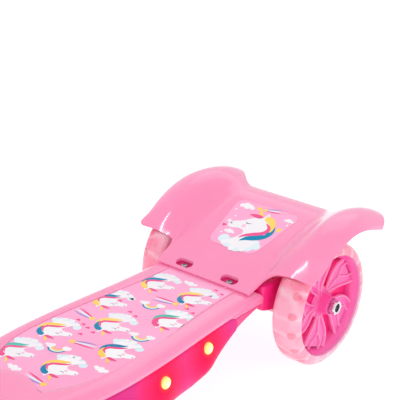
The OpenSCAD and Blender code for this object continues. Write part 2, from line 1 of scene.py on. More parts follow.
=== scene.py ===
"""Looks of a child's three-wheeled kick scooter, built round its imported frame.

Lengths in the classes below are millimetres. On the deck and the fender, x is measured forwards
from the rear axle, y to the rider's left and z up from the ground.
"""

import logging
import math
from collections.abc import Callable, Iterable, Sequence
from dataclasses import dataclass, field
from enum import Enum

import bmesh
import bpy
from mathutils import Matrix, Vector


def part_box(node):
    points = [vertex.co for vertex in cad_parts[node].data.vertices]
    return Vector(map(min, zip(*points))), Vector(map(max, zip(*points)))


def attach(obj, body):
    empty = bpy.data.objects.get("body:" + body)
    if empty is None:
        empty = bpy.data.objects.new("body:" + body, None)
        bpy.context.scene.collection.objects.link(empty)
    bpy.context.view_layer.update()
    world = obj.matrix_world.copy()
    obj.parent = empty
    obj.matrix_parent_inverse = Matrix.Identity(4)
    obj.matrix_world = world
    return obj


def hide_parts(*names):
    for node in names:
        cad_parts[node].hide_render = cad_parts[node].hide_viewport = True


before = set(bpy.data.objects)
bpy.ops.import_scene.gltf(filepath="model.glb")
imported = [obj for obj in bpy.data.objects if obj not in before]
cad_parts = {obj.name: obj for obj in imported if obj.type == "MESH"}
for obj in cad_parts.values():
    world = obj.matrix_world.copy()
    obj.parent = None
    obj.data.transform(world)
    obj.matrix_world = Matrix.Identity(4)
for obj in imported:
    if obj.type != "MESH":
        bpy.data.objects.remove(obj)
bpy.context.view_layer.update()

MM = 0.001
LOG = logging.getLogger("scooter")

Colour = tuple[float, float, float]
Point2 = tuple[float, float]
Point3 = tuple[float, float, float]


class Body(str, Enum):
    """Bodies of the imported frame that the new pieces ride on."""

    CHASSIS = "chassis"
    BRAKE = "foot_brake"
    REAR_LEFT = "rear_wheel_left"
    REAR_RIGHT = "rear_wheel_right"
    FRONT = "front_wheel"


class Slot(str, Enum):
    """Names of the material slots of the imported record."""

    SHELL = "shell_pink"
    BELLY = "belly_pink"
    HOT = "hot_pink"
    TYRE = "tyre_pink"
    LENS = "light_lens"
    LED = "led_glow"
    MAT = "printed_mat"
    LABEL = "printed_label"
    NUT = "nut_chrome"
    AXLE = "axle_steel"


# ---------------------------------------------------------------- small geometry tools


def node_centre(node: str) -> Vector:
    """Middle of a frame node's box, in millimetres."""
    low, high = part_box(node)
    return (low + high) / (2 * MM)


REAR_X = node_centre("rear_axle").x
WHEEL_R = node_centre("rear_tyre_left").z


def ease(t: float) -> float:
    """Smooth step from 0 to 1 over t from 0 to 1."""
    return 0.5 - 0.5 * math.cos(math.pi * min(1.0, max(0.0, t)))


def bell(d: float) -> float:
    """Bell curve that is 1 at 0."""
    return math.exp(-d * d)


def mix(a: float, b: float, t: float) -> float:
    """Value at t between a and b."""
    return a + (b - a) * t


def smooth_loop(points: Sequence[Point2], per_span: int = 7) -> list[Point2]:
    """Closed rounded curve through a few points.

    Args:
        points: Corners of the loop, in order.
        per_span: Steps between two of them.

    Returns:
        The curve's points.
    """
    n = len(points)
    out: list[Point2] = []
    for i in range(n):
        p0, p1, p2, p3 = (points[(i + k - 1) % n] for k in range(4))
        for s in range(per_span):
            t = s / per_span
            out.append(
                tuple(
                    0.5 * (2 * b + (c - a) * t + (2 * a - 5 * b + 4 * c - d) * t * t
                           + (3 * b - a - 3 * c + d) * t * t * t)
                    for a, b, c, d in zip(p0, p1, p2, p3)
                )
            )
    return out


def disc(x: float, y: float, r: float, steps: int = 18) -> list[Point2]:
    """Round outline."""
    return [(x + r * math.cos(2 * math.pi * i / steps), y + r * math.sin(2 * math.pi * i / steps))
            for i in range(steps)]


class Skin:
    """Vertices and faces of one piece, in millimetres, with a material number for each face."""

    def __init__(self) -> None:
        """Starts with nothing."""
        self.points: list[Point3] = []
        self.faces: list[tuple[int, ...]] = []
        self.inks: list[int] = []

    def add(self, points: Iterable[Point3], faces: Iterable[Sequence[int]], ink: int = 0) -> None:
        """Adds a patch.

        Args:
            points: Its own points.
            faces: Its faces, numbered from its own first point.
            ink: Number of the material that the faces take.
        """
        start = len(self.points)
        self.points.extend(tuple(p) for p in points)
        for f in faces:
            self.faces.append(tuple(start + i for i in f))
            self.inks.append(ink)

    def sheet(self, rows: Sequence[Sequence[Point3]], closed: bool = False, capped: bool = False,
              ink: int = 0) -> None:
        """Adds a patch of quads through rows of points.

        Args:
            rows: Rows with the same number of points.
            closed: Joins each row's last point to its first.
            capped: Closes the first and the last row with a face each.
            ink: Number of the material.
        """
        n = len(rows[0])
        wide = n if closed else n - 1
        faces: list[Sequence[int]] = [
            (i * n + j, (i + 1) * n + j, (i + 1) * n + (j + 1) % n, i * n + (j + 1) % n)
            for i in range(len(rows) - 1) for j in range(wide)
        ]
        if capped:
            faces.append(tuple(range(n)))
            faces.append(tuple(range((len(rows) - 1) * n, len(rows) * n))[::-1])
        self.add([p for row in rows for p in row], faces, ink)

    def lathe(self, profile: Sequence[Point2], steps: int = 96, ink: int = 0) -> None:
        """Adds a solid of revolution about the y axis.

        Args:
            profile: Closed outline as (radius, y).
            steps: Number of places round the turn.
            ink: Number of the material.
        """
        rows = []
        for k in range(steps):
            a = 2 * math.pi * k / steps
            rows.append([(r * math.cos(a), y, r * math.sin(a)) for r, y in profile])
        rows.append(rows[0])
        self.sheet(rows, closed=True, ink=ink)

    def mirrored(self) -> "Skin":
        """The same patches on the other side of the middle plane.

        Returns:
            The mirrored skin.
        """
        out = Skin()
        out.points = [(x, -y, z) for x, y, z in self.points]
        out.faces = [f[::-1] for f in self.faces]
        out.inks = list(self.inks)
        return out


def rounded(outline: Sequence[Point2], radius: float, steps: int = 4) -> list[Point2]:
    """Outline with its corners rounded.

    Args:
        outline: Corners of a closed outline.
        radius: Radius wanted, less where an edge is short.
        steps: Steps round one corner.

    Returns:
        The rounded outline.
    """
    out: list[Point2] = []
    n = len(outline)
    for i in range(n):
        p = Vector(outline[i])
        a, b = Vector(outline[i - 1]) - p, Vector(outline[(i + 1) % n]) - p
        cut = min(radius, 0.45 * a.length, 0.45 * b.length)
        first, last = p + a.normalized() * cut, p + b.normalized() * cut
        for s in range(steps + 1):
            t = s / steps
            q = first * (1 - t) ** 2 + p * 2 * t * (1 - t) + last * t * t
            out.append((q.x, q.y))
    return out


# ---------------------------------------------------------------- finishes


class Graph:
    """One node material under construction."""

    def __init__(self, name: str) -> None:
        """Starts a material with a surface shader.

        Args:
            name: Name of the material.
        """
        self.material = bpy.data.materials.new(name)
        self.material.use_nodes = True
        self.tree = self.material.node_tree
        self.tree.nodes.clear()
        self.shader = self.node("ShaderNodeBsdfPrincipled")
        out = self.node("ShaderNodeOutputMaterial")
        self.join(self.shader.outputs[0], out.inputs["Surface"])
        self.place = self.node("ShaderNodeTexCoord").outputs["Object"]

    def node(self, kind: str, **settings: object) -> bpy.types.Node:
        """Adds a node and sets its own properties.

        Args:
            kind: Type name of the node.
            settings: Its own properties by name.

        Returns:
            The node.
        """
        made = self.tree.nodes.new(kind)
        for key, value in settings.items():
            setattr(made, key, value)
        return made

    def join(self, source: bpy.types.NodeSocket, target: bpy.types.NodeSocket) -> None:
        """Joins two sockets."""
        self.tree.links.new(source, target)

    def set(self, **values: object) -> None:
        """Sets the shader's own sockets, with _ for a space in their names."""
        for key, value in values.items():
            self.shader.inputs[key.replace("_", " ")].default_value = value

    def math(self, operation: str, *values: object) -> bpy.types.NodeSocket:
        """Adds a Math node.

        Args:
            operation: What it does.
            values: Numbers or sockets, in order.

        Returns:
            Its result.
        """
        made = self.node("ShaderNodeMath", operation=operation)
        for socket, value in zip(made.inputs, values):
            if isinstance(value, bpy.types.NodeSocket):
                self.join(value, socket)
            else:
                socket.default_value = value
        return made.outputs[0]

    def noise(self, scale: float, detail: float = 2.0, place: object = None) -> bpy.types.NodeSocket:
        """Noise from 0 to 1 at so many features a metre.

        Args:
            scale: Features a metre.
            detail: Number of finer octaves.
            place: Socket of the place that it is read at, the object's own if None.

        Returns:
            Its value.
        """
        made = self.node("ShaderNodeTexNoise")
        self.join(place or self.place, made.inputs["Vector"])
        made.inputs["Scale"].default_value = scale
        made.inputs["Detail"].default_value = detail
        return made.outputs["Fac"]

    def ramp(self, value: bpy.types.NodeSocket,
             stops: Sequence[tuple[float, Colour]]) -> bpy.types.NodeSocket:
        """Colour ramp over a value.

        Args:
            value: What runs along the ramp.
            stops: Places along it and their colours.

        Returns:
            Its colour.
        """
        made = self.node("ShaderNodeValToRGB")
        band = made.color_ramp
        while len(band.elements) < len(stops):
            band.elements.new(0.5)
        for element, (at, colour) in zip(band.elements, stops):
            element.position = at
            element.color = (*colour, 1.0)
        self.join(value, made.inputs["Fac"])
        return made.outputs["Color"]

    def span(self, value: bpy.types.NodeSocket, low: float, high: float, to_low: float,
             to_high: float) -> bpy.types.NodeSocket:
        """Maps a value from one range to another, clamped.

        Args:
            value: What is mapped.
            low: Start of its range.
            high: End of its range.
            to_low: Result at the start.
            to_high: Result at the end.

        Returns:
            The result.
        """
        made = self.node("ShaderNodeMapRange")
        self.join(value, made.inputs[0])
        for socket, number in zip(list(made.inputs)[1:5], (low, high, to_low, to_high)):
            socket.default_value = number
        return made.outputs[0]

    def blend(self, factor: object, a: object, b: object) -> bpy.types.NodeSocket:
        """Mixes two colours, each a socket or a fixed colour.

        Args:
            factor: Share of the second, a number or a socket.
            a: First colour.
            b: Second colour.

        Returns:
            The mixed colour.
        """
        made = self.node("ShaderNodeMix", data_type="RGBA")
        for socket, value in ((made.inputs[0], factor), (made.inputs[6], a), (made.inputs[7], b)):
            if isinstance(value, bpy.types.NodeSocket):
                self.join(value, socket)
            elif isinstance(value, (tuple, list)):
                socket.default_value = (*value, 1.0)
            else:
                socket.default_value = value
        return made.outputs[2]

    def bump(self, height: bpy.types.NodeSocket, strength: float, depth: float) -> None:
        """Raises the surface in its shading.

        Args:
            height: Height from 0 to 1.
            strength: Share of the effect.
            depth: Height of 1, millimetres.
        """
        made = self.node("ShaderNodeBump")
        made.inputs["Strength"].default_value = strength
        made.inputs["Distance"].default_value = depth * MM
        self.join(height, made.inputs["Height"])
        self.join(made.outputs[0], self.shader.inputs["Normal"])

    def colour(self, socket: bpy.types.NodeSocket) -> None:
        """Gives the shader its base colour."""
        self.join(socket, self.shader.inputs["Base Color"])

    def rough(self, low: float, high: float, scale: float) -> None:
        """Lets the roughness wander between two values."""
        self.join(self.span(self.noise(scale, 3.0), 0.3, 0.7, low, high), self.shader.inputs["Roughness"])


@dataclass(frozen=True)
class Finish:
    """A surface finish.

    Attributes:
        name: Name of its material.
        colour: Main colour, linear.
        shade: Colour of its darker drifts, linear.
        rough: Lowest and highest roughness.
        coat: Weight of the clear coat.
        grain: Features a metre of its fine grain.
        depth: Depth of the grain, millimetres.
    """

    name: str
    colour: Colour
    shade: Colour
    rough: tuple[float, float] = (0.25, 0.35)
    coat: float = 0.0
    grain: float = 900.0
    depth: float = 0.01

    def start(self) -> Graph:
        """Material with drifting colour, wandering roughness and a fine grain.

        Returns:
            The material under construction.
        """
        g = Graph(self.name)
        g.colour(g.blend(g.span(g.noise(14.0), 0.35, 0.65, 0.0, 1.0), self.shade, self.colour))
        g.rough(*self.rough, 60.0)
        g.bump(g.noise(self.grain, 3.0), 0.5, self.depth)
        g.set(Coat_Weight=self.coat, Coat_Roughness=0.08)
        return g

    def build(self) -> bpy.types.Material:
        """Makes the material.

        Returns:
            The material.
        """
        return self.start().material


@dataclass(frozen=True)
class Metal(Finish):
    """Plated or turned metal, drawn along one direction."""

    stretch: Point3 = (1.0, 60.0, 1.0)

    def build(self) -> bpy.types.Material:
        """Makes the material.

        Returns:
            The material.
        """
        g = self.start()
        g.set(Metallic=1.0)
        run = g.node("ShaderNodeMapping")
        g.join(g.place, run.inputs["Vector"])
        run.inputs["Scale"].default_value = self.stretch
        lines = g.noise(120.0, 4.0, run.outputs[0])
        g.join(g.span(lines, 0.3, 0.7, *self.rough), g.shader.inputs["Roughness"])
        return g.material


@dataclass(frozen=True)
class Moulding(Finish):
    """Glossy moulded plastic that lets a little light into it."""

    soft: float = 0.15

    def build(self) -> bpy.types.Material:
        """Makes the material.

        Returns:
            The material.
        """
        g = self.start()
        g.set(Subsurface_Weight=self.soft, Subsurface_Radius=(1.0, 0.35, 0.5), Subsurface_Scale=2.5 * MM)
        g.set(IOR=1.49, Specular_IOR_Level=0.5)
        return g.material


@dataclass(frozen=True)
class Urethane(Finish):
    """Clear tyre: cross lines on the tread and moulded lugs showing through near one shoulder.

    Attributes:
        lug: Colour of the lugs seen through it.
        pale: Colour of the flow lines.
        lugs: Number of lugs round the tyre.
        lug_at: Distance of their ring from the wheel's middle plane.
    """

    lug: Colour = (0.9, 0.08, 0.2)
    pale: Colour = (1.0, 0.72, 0.8)
    lugs: int = 19
    lug_at: float = 9.5

    def build(self) -> bpy.types.Material:
        """Makes the material.

        Returns:
            The material.
        """
        g = self.start()
        parts = g.node("ShaderNodeSeparateXYZ")
        g.join(g.place, parts.inputs[0])
        x, y, z = parts.outputs
        angle = g.math("ARCTAN2", z, x)
        turn = g.math("MULTIPLY", angle, self.lugs / (2 * math.pi))
        step = g.math("SUBTRACT", g.math("FRACT", turn), 0.5)
        along = g.math("MULTIPLY", step, 2 * math.pi * WHEEL_R * MM / self.lugs)
        across = g.math("SUBTRACT", y, self.lug_at * MM)
        squares = g.math("ADD", g.math("MULTIPLY", along, along), g.math("MULTIPLY", across, across))
        reach = g.math("SQRT", squares)
        spot = g.span(reach, 3.4 * MM, 4.4 * MM, 1.0, 0.0)
        swirl = g.math("ADD", turn, g.span(g.noise(30.0), 0.0, 1.0, -0.6, 0.6))
        line = g.math("ABSOLUTE", g.math("SUBTRACT", g.math("FRACT", swirl), 0.5))
        flow = g.span(line, 0.0, 0.2, 1.0, 0.0)
        body = g.blend(g.span(g.noise(28.0, 4.0), 0.4, 0.6, 0.0, 1.0), self.shade, self.colour)
        body = g.blend(g.math("MULTIPLY", flow, 0.6), body, self.pale)
        g.colour(g.blend(g.math("MULTIPLY", spot, 0.5), body, self.lug))
        g.set(Subsurface_Weight=0.35, Subsurface_Radius=(1.0, 0.45, 0.45), Subsurface_Scale=4 * MM)
        g.set(Transmission_Weight=0.05, IOR=1.5)
        g.bump(line, 0.35, 0.15)
        return g.material


@dataclass(frozen=True)
class Lens(Finish):
    """Clear plastic lit from behind by lamps.

    Attributes:
        lamps: Places of the lamps, metres.
        hot: Colour of the light close to a lamp.
        reach: How far the light spreads, millimetres.
        power: Strength of the glow at a lamp.
    """

    lamps: tuple[Point3, ...] = ()
    hot: Colour = (1.0, 0.001, 0.045)
    reach: float = 38.0
    power: float = 0.45

    def build(self) -> bpy.types.Material:
        """Makes the material.

        Returns:
            The material.
        """
        g = self.start()
        glow: bpy.types.NodeSocket | None = None
        for lamp in self.lamps:
            gap = g.node("ShaderNodeVectorMath", operation="DISTANCE")
            g.join(g.place, gap.inputs[0])
            gap.inputs[1].default_value = lamp
            near = g.math("POWER", g.span(gap.outputs["Value"], 5 * MM, self.reach * MM, 1.0, 0.0), 1.3)
            glow = near if glow is None else g.math("MAXIMUM", glow, near)
        body = g.blend(g.span(g.noise(25.0, 3.0), 0.35, 0.65, 0.0, 1.0), self.shade, self.colour)
        g.colour(g.blend(g.math("POWER", glow, 0.6), body, self.hot))
        g.join(g.ramp(glow, [(0.0, self.hot), (0.85, self.hot), (1.0, (1.0, 0.12, 0.02))]),
               g.shader.inputs["Emission Color"])
        g.join(g.math("MULTIPLY", glow, self.power), g.shader.inputs["Emission Strength"])
        g.set(Coat_Weight=0.0, IOR=1.3, Specular_IOR_Level=0.25)
        return g.material


@dataclass(frozen=True)
class Lamp(Finish):
    """Glowing dome: white in the middle, yellow further out and orange at its edge.

    Attributes:
        radius: Radius of the dome, millimetres.
        power: Strength of the glow.
    """

    radius: float = 5.4
    power: float = 1.3

    def build(self) -> bpy.types.Material:
        """Makes the material.

        Returns:
            The material.
        """
        g = self.start()
        parts = g.node("ShaderNodeSeparateXYZ")
        g.join(g.place, parts.inputs[0])
        x, _, z = parts.outputs
        reach = g.math("SQRT", g.math("ADD", g.math("MULTIPLY", x, x), g.math("MULTIPLY", z, z)))
        ring = g.math("DIVIDE", reach, self.radius * MM)
        g.join(g.ramp(ring, [(0.0, (1.0, 0.93, 0.6)), (0.35, (1.0, 0.85, 0.3)), (0.75, (1.0, 0.6, 0.08)),
                             (1.0, (1.0, 0.12, 0.02))]), g.shader.inputs["Emission Color"])
        g.set(Emission_Strength=self.power)
        return g.material


@dataclass(frozen=True)
class LightTable(Finish):
    """White surface lit evenly from below.

    Attributes:
        power: Strength of its light.
    """

    power: float = 0.82

    def build(self) -> bpy.types.Material:
        """Makes the material.

        Returns:
            The material.
        """
        g = self.start()
        g.join(g.ramp(g.noise(2.0), [(0.0, (1.0, 1.0, 1.0)), (1.0, (0.99, 0.99, 0.99))]),
               g.shader.inputs["Emission Color"])
        g.set(Emission_Strength=self.power)
        return g.material


@dataclass(frozen=True)
class Ink(Finish):
    """Printed colour under a gloss film."""

    def build(self) -> bpy.types.Material:
        """Makes the material.

        Returns:
            The material.
        """
        g = self.start()
        g.set(Coat_Weight=0.0, Specular_IOR_Level=0.15)
        return g.material


PINK_SHELL = Moulding("pink_shell_gloss", (1.0, 0.28, 0.51), (1.0, 0.255, 0.485), (0.12, 0.18), 0.8,
                      depth=0.002)
PINK_BELLY = Moulding("pink_belly_gloss", (0.95, 0.12, 0.33), (0.9, 0.09, 0.28), (0.22, 0.32), 0.2)
HOT_PINK = Moulding("hot_pink_gloss", (1.0, 0.13, 0.47), (0.98, 0.1, 0.41), (0.22, 0.34), 0.25, soft=0.3)
# Paler pink of the ribs and rim lips: a painted highlight along their raised edges.
RIB_HIGHLIGHT_PINK = Moulding("rib_painted_highlight_gloss", (1.0, 0.3, 0.58), (1.0, 0.26, 0.54), (0.2, 0.3), 0.3, soft=0.3)
DEEP_PINK = Moulding("deep_pink_gloss", (1.0, 0.016, 0.26), (1.0, 0.012, 0.22), (0.25, 0.35), 0.2, soft=0.3)
# Darker pink of the screw pockets: painted shade inside the recesses of the fender.
POCKET_SHADE_PINK = Moulding("pocket_painted_shade", (0.85, 0.04, 0.25), (0.75, 0.03, 0.2), (0.35, 0.45))
TYRE_CLEAR = Urethane("clear_pink_tyre", (1.0, 0.5, 0.64), (1.0, 0.27, 0.42), (0.24, 0.36), 0.15)
WHITE_COAT = Finish("white_powder_coat", (0.86, 0.86, 0.87), (0.8, 0.8, 0.82), (0.3, 0.4), 0.3, 1500.0, 0.02)
CHROME = Metal("bright_chrome", (0.82, 0.82, 0.84), (0.74, 0.74, 0.77), (0.06, 0.14), depth=0.002)
STEEL = Metal("turned_steel", (0.5, 0.5, 0.52), (0.4, 0.4, 0.43), (0.25, 0.45))
NUT_ZINC = Metal("bright_zinc", (0.8, 0.8, 0.82), (0.62, 0.63, 0.66), (0.12, 0.25))
DARK_NYLON = Finish("dark_nylon", (0.02, 0.02, 0.023), (0.012, 0.012, 0.014), (0.4, 0.6),
                    grain=1500.0, depth=0.03)
GRIP_RUBBER = Finish("soft_pink_rubber", (0.93, 0.2, 0.42), (0.88, 0.16, 0.36), (0.5, 0.65),
                     grain=2200.0, depth=0.05)
BOARD_GREEN = Finish("board_green", (0.01, 0.12, 0.04), (0.01, 0.09, 0.03), (0.3, 0.5))
CELL_FOIL = Metal("cell_foil", (0.6, 0.6, 0.63), (0.5, 0.5, 0.54), (0.2, 0.35))
FLOOR_WHITE = LightTable("pale_floor", (0.42, 0.42, 0.42), (0.41, 0.41, 0.41), (0.8, 0.9), depth=0.0)


class Printed(Enum):
    """Inks of the printed mat and label, in the order of their material numbers."""

    GROUND = Ink("print_ground_pink", (0.99, 0.39, 0.62), (1.0, 0.44, 0.68), (0.2, 0.3))
    WHITE = Ink("print_white", (0.95, 0.93, 0.95), (0.9, 0.88, 0.92), (0.2, 0.3))
    MIST = Ink("print_pale_blue", (0.7, 0.86, 0.93), (0.78, 0.9, 0.95), (0.2, 0.3))
    TEAL = Ink("print_teal", (0.0, 0.2, 0.4), (0.0, 0.26, 0.47), (0.2, 0.3))
    YELLOW = Ink("print_yellow", (1.0, 0.64, 0.1), (1.0, 0.7, 0.16), (0.2, 0.3))
    ROSE = Ink("print_rose", (0.88, 0.07, 0.25), (0.92, 0.1, 0.3), (0.2, 0.3))
    PEACH = Ink("print_peach", (0.95, 0.45, 0.36), (0.97, 0.5, 0.42), (0.2, 0.3))
    LILAC = Ink("print_lilac", (0.35, 0.25, 0.62), (0.4, 0.3, 0.66), (0.2, 0.3))
    BLUSH = Ink("print_blush", (0.97, 0.55, 0.72), (0.98, 0.6, 0.76), (0.2, 0.3))
    LINE = Ink("print_line", (0.12, 0.06, 0.14), (0.16, 0.08, 0.18), (0.2, 0.3))
    MINT = Ink("print_mint", (0.08, 0.5, 0.42), (0.1, 0.55, 0.46), (0.2, 0.3))


INKS = list(Printed)
_made: dict[str, bpy.types.Material] = {}


def material_of(finish: Finish) -> bpy.types.Material:
    """The finish's material, made once.

    Args:
        finish: The finish.

    Returns:
        Its material.
    """
    if finish.name not in _made:
        _made[finish.name] = finish.build()
    return _made[finish.name]


# ---------------------------------------------------------------- making and dressing pieces


@dataclass
class Edge:
    """How a piece's sharp edges are rounded.

    Attributes:
        width: Width of the rounding, millimetres, or 0 for none.
        segments: Steps across it.
        angle: Least angle between faces that is rounded, degrees.
    """

    width: float = 0.0
    segments: int = 3
    angle: float = 35.0


def mark_sharp(mesh: bpy.types.Mesh, angle: float) -> None:
    """Shades a mesh smooth except across its sharp edges.

    Args:
        mesh: The mesh.
        angle: Least angle that stays sharp, degrees.
    """
    bm = bmesh.new()
    bm.from_mesh(mesh)
    bmesh.ops.remove_doubles(bm, verts=bm.verts, dist=0.002 * MM)
    bmesh.ops.recalc_face_normals(bm, faces=bm.faces)
    for f in bm.faces:
        f.smooth = True
    for e in bm.edges:
        e.smooth = not (e.is_manifold and e.calc_face_angle(0.0) > math.radians(angle))
    bm.to_mesh(mesh)
    bm.free()


def make(name: str, skin: Skin, body: Body, finishes: Sequence[Finish], *,
         origin: Point3 = (0.0, 0.0, 0.0), turn: Matrix | None = None, replaces: Sequence[str] = (),
         edge: Edge = Edge(), shell: float = 0.0) -> bpy.types.Object:
    """Turns a skin into a piece that rides on a body.

    Args:
        name: Name of the piece.
        skin: Its patches, in millimetres from its origin.
        body: Body that it rides on.
        finishes: Its finishes, in the order of the skin's material numbers.
        origin: Place of its own zero point, millimetres.
        turn: Turning about that point.
        replaces: Frame nodes that it stands for.
        edge: Rounding of its edges.
        shell: Wall added inwards to an open skin, millimetres.

    Returns:
        The piece.
    """
    mesh = bpy.data.meshes.new(name)
    mesh.from_pydata([tuple(c * MM for c in p) for p in skin.points], [], skin.faces)
    for f, ink in zip(mesh.polygons, skin.inks):
        f.material_index = ink
    for finish in finishes:
        mesh.materials.append(material_of(finish))
    mark_sharp(mesh, edge.angle)
    piece = bpy.data.objects.new(name, mesh)
    bpy.context.collection.objects.link(piece)
    piece.matrix_world = Matrix.Translation(Vector(origin) * MM) @ (turn or Matrix()).to_4x4()
    if shell:
        wall = piece.modifiers.new("wall", "SOLIDIFY")
        wall.thickness = shell * MM
        wall.offset = -1.0
    round_edges(piece, edge)
    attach(piece, body.value)
    if replaces:
        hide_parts(*replaces)
    LOG.info("%s: %d faces on %s", name, len(mesh.polygons), body.value)
    return piece


def round_edges(piece: bpy.types.Object, edge: Edge) -> None:
    """Adds a rounding to a piece's sharp edges.

    Args:
        piece: The piece.
        edge: How its edges are rounded.
    """
    if not edge.width:
        return
    bevel = piece.modifiers.new("rounding", "BEVEL")
    bevel.width = edge.width * MM
    bevel.segments = edge.segments
    bevel.limit_method = "ANGLE"
    bevel.angle_limit = math.radians(edge.angle)
    bevel.use_clamp_overlap = True
    bevel.harden_normals = True


def cut(piece: bpy.types.Object, skins: Sequence[Skin], origin: Point3) -> None:
    """Cuts closed skins out of a piece and keeps the result as its mesh.

    Args:
        piece: What is cut. Its modifiers so far are applied.
        skins: The cutters, in millimetres.
        origin: Place of their zero point.
    """
    mesh = bpy.data.meshes.new("cutter")
    whole = Skin()
    for s in skins:
        whole.add(s.points, s.faces)
    mesh.from_pydata([tuple(c * MM for c in p) for p in whole.points], [], whole.faces)
    mark_sharp(mesh, 30.0)
    cutter = bpy.data.objects.new("cutter", mesh)
    bpy.context.collection.objects.link(cutter)
    cutter.matrix_world = Matrix.Translation(Vector(origin) * MM)
    tool = piece.modifiers.new("cut", "BOOLEAN")
    tool.operation = "DIFFERENCE"
    tool.solver = "EXACT"
    tool.object = cutter
    graph = bpy.context.evaluated_depsgraph_get()
    result = bpy.data.meshes.new_from_object(piece.evaluated_get(graph))
    piece.modifiers.clear()
    piece.data = result
    bpy.data.objects.remove(cutter)


def dress(node: str, finish: Finish, edge: Edge = Edge()) -> None:
    """Gives a frame node a finish and rounded edges.

    Args:
        node: Name of the node.
        finish: Its finish.
        edge: Rounding of its edges.
    """
    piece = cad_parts[node]
    piece.data.materials.clear()
    piece.data.materials.append(material_of(finish))
    for f in piece.data.polygons:
        f.use_smooth = True
    round_edges(piece, edge)
    LOG.info("%s: dressed in %s", node, finish.name)


# ---------------------------------------------------------------- deck


@dataclass(frozen=True)
class DeckForm:
    """Outlines and sections of the deck, the mat and the light strips.

    Attributes:
        top: Height of the rim.
        seam: Height where the two mouldings meet.
        rear: Rear end of the deck.
        nose: Front end of the deck.
        wide_at: Widest place.
        rear_half: Half width at the rear.
        wide_half: Half width at the widest place.
        nose_len: Length of the rounded nose.
        mat_rear: Rear edge of the mat.
        mat_top: Height of the mat.
        mat_slim: Half width of the mat at its rear.
        mat_wide: Half width at its widest.
        mat_nose: Length of its rounded front.
        arc_at: Rearmost place of its hollow front edge.
        arc_r: Radius of that edge.
        belly_z: Lowest height of the underside.
        belly_rise: Rise of the underside at the rear.
        belly_from: Where that rise starts.
        belly_run: Length of that rise.
        nose_lift: Rise of the underside at the nose.
        round_over: Width of the rim's rounded edge.
        round_drop: Drop of that edge.
        flare: Swell of the side walls.
        lamps: Places of the lamps as (x, z).
        strip_from: Rear end of a light strip.
        strip_to: Front end of a light strip.
        rear_steps: Steps across half of the rear edge.
    """

    top: float = 86.9
    seam: float = 75.0
    rear: float = 61.0
    nose: float = 373.0
    wide_at: float = 245.0
    rear_half: float = 58.5
    wide_half: float = 67.0
    nose_len: float = 140.0
    mat_rear: float = 80.0
    mat_top: float = 86.3
    mat_slim: float = 38.5
    mat_wide: float = 51.0
    mat_nose: float = 80.0
    arc_at: float = 304.0
    arc_r: float = 45.0
    belly_z: float = 30.0
    belly_rise: float = 44.0
    belly_from: float = 48.0
    belly_run: float = 122.0
    nose_lift: float = 20.0
    round_over: float = 15.0
    round_drop: float = 8.0
    flare: float = 5.0
    lamps: tuple[Point2, ...] = ((148.5, 67.5), (211.0, 64.0))
    strip_from: float = 99.0
    strip_to: float = 322.0
    rear_steps: int = 8

    def spread(self, x: float) -> float:
        """Share of the widening between the mat's rear edge and the widest place."""
        return ease((x - self.mat_rear) / (self.wide_at - self.mat_rear))

    def half(self, x: float) -> float:
        """Half width of the deck.

        Args:
            x: Place along the deck.

        Returns:
            The half width.
        """
        if x < self.wide_at:
            return mix(self.rear_half, self.wide_half, self.spread(x))
        return self.wide_half * math.sqrt(max(0.02, 1 - ((x - self.wide_at) / self.nose_len) ** 2))

    def mat_half(self, x: float) -> float:
        """Half width of the mat.

        Args:
            x: Place along the deck.

        Returns:
            The half width.
        """
        if x < self.wide_at:
            return mix(self.mat_slim, self.mat_wide, self.spread(x))
        return self.mat_wide * math.sqrt(max(0.0, 1 - ((x - self.wide_at) / self.mat_nose) ** 2))

    def belly(self, x: float) -> float:
        """Height of the underside on the middle line.

        Args:
            x: Place along the deck.

        Returns:
            The height.
        """
        t = (x - self.belly_from) / self.belly_run
        soft = 0.5 * (min(1.0, max(0.0, t)) + ease(t))
        return self.belly_z + self.belly_rise * (1 - soft) + self.nose_lift * ease((x - 320) / 65)

    def bulge(self, x: float, q: float) -> float:
        """How far the side wall swells outwards.

        Args:
            x: Place along the deck.
            q: Share of the way down.

        Returns:
            The swell.
        """
        round_lamps = sum(bell((x - at) / 14) for at, _ in self.lamps)
        swell = self.flare * ease((x - self.rear - 24) / 70) * ease(q / 0.75)
        return swell + 3.0 * bell(2.6 * (q - 0.6)) * round_lamps

    def wall_y(self, x: float, z: float) -> float:
        """Distance of the side wall from the middle line.

        Args:
            x: Place along the deck.
            z: Height.

        Returns:
            The distance.
        """
        high = self.top - self.round_drop
        q = min(1.0, max(0.0, (high - z) / (high - self.belly(x))))
        inset = 1.0 * q + 19.0 * max(0.0, (q - 0.35) / 0.65) ** 4.5
        return self.half(x) + (self.bulge(x, q) - inset) * self.half(x) / self.wide_half

    def tip(self) -> float:
        """Where the mat's side meets its front arc.

        Returns:
            Its place along the deck.
        """
        x = self.arc_at
        while self.mat_half(x) > math.sqrt(max(0.0, self.arc_r**2 - (x - self.arc_at - self.arc_r) ** 2)):
            x += 0.25
        return x

    def loops(self) -> tuple[list[Point2], list[Point2]]:
        """Mat edge and deck edge on the left half, paired point by point from the rear to the front.

        Returns:
            The mat's edge and the deck's edge.
        """
        tip = self.tip()
        inner: list[Point2] = []
        outer: list[Point2] = []
        for i in range(self.rear_steps + 1):
            y = i / self.rear_steps
            inner.append((self.mat_rear, y * self.mat_slim))
            outer.append((self.rear, y * self.rear_half))
        for i in range(1, 81):
            x = mix(self.mat_rear, tip, i / 80)
            inner.append((x, self.mat_half(x)))
            outer.append((mix(self.rear, tip, i / 80), self.half(mix(self.rear, tip, i / 80))))
        lean = math.asin(self.mat_half(tip) / self.arc_r)
        for i in range(1, 25):
            t = i / 24
            a = lean * (1 - t)
            inner.append((self.arc_at + self.arc_r - self.arc_r * math.cos(a), self.arc_r * math.sin(a)))
            x = mix(tip, self.nose, math.sin(math.pi / 2 * min(1.0, t / 0.7)))
            outer.append((x, self.half(x) * (1 - max(0.0, (t - 0.7) / 0.3))))
        return inner, outer

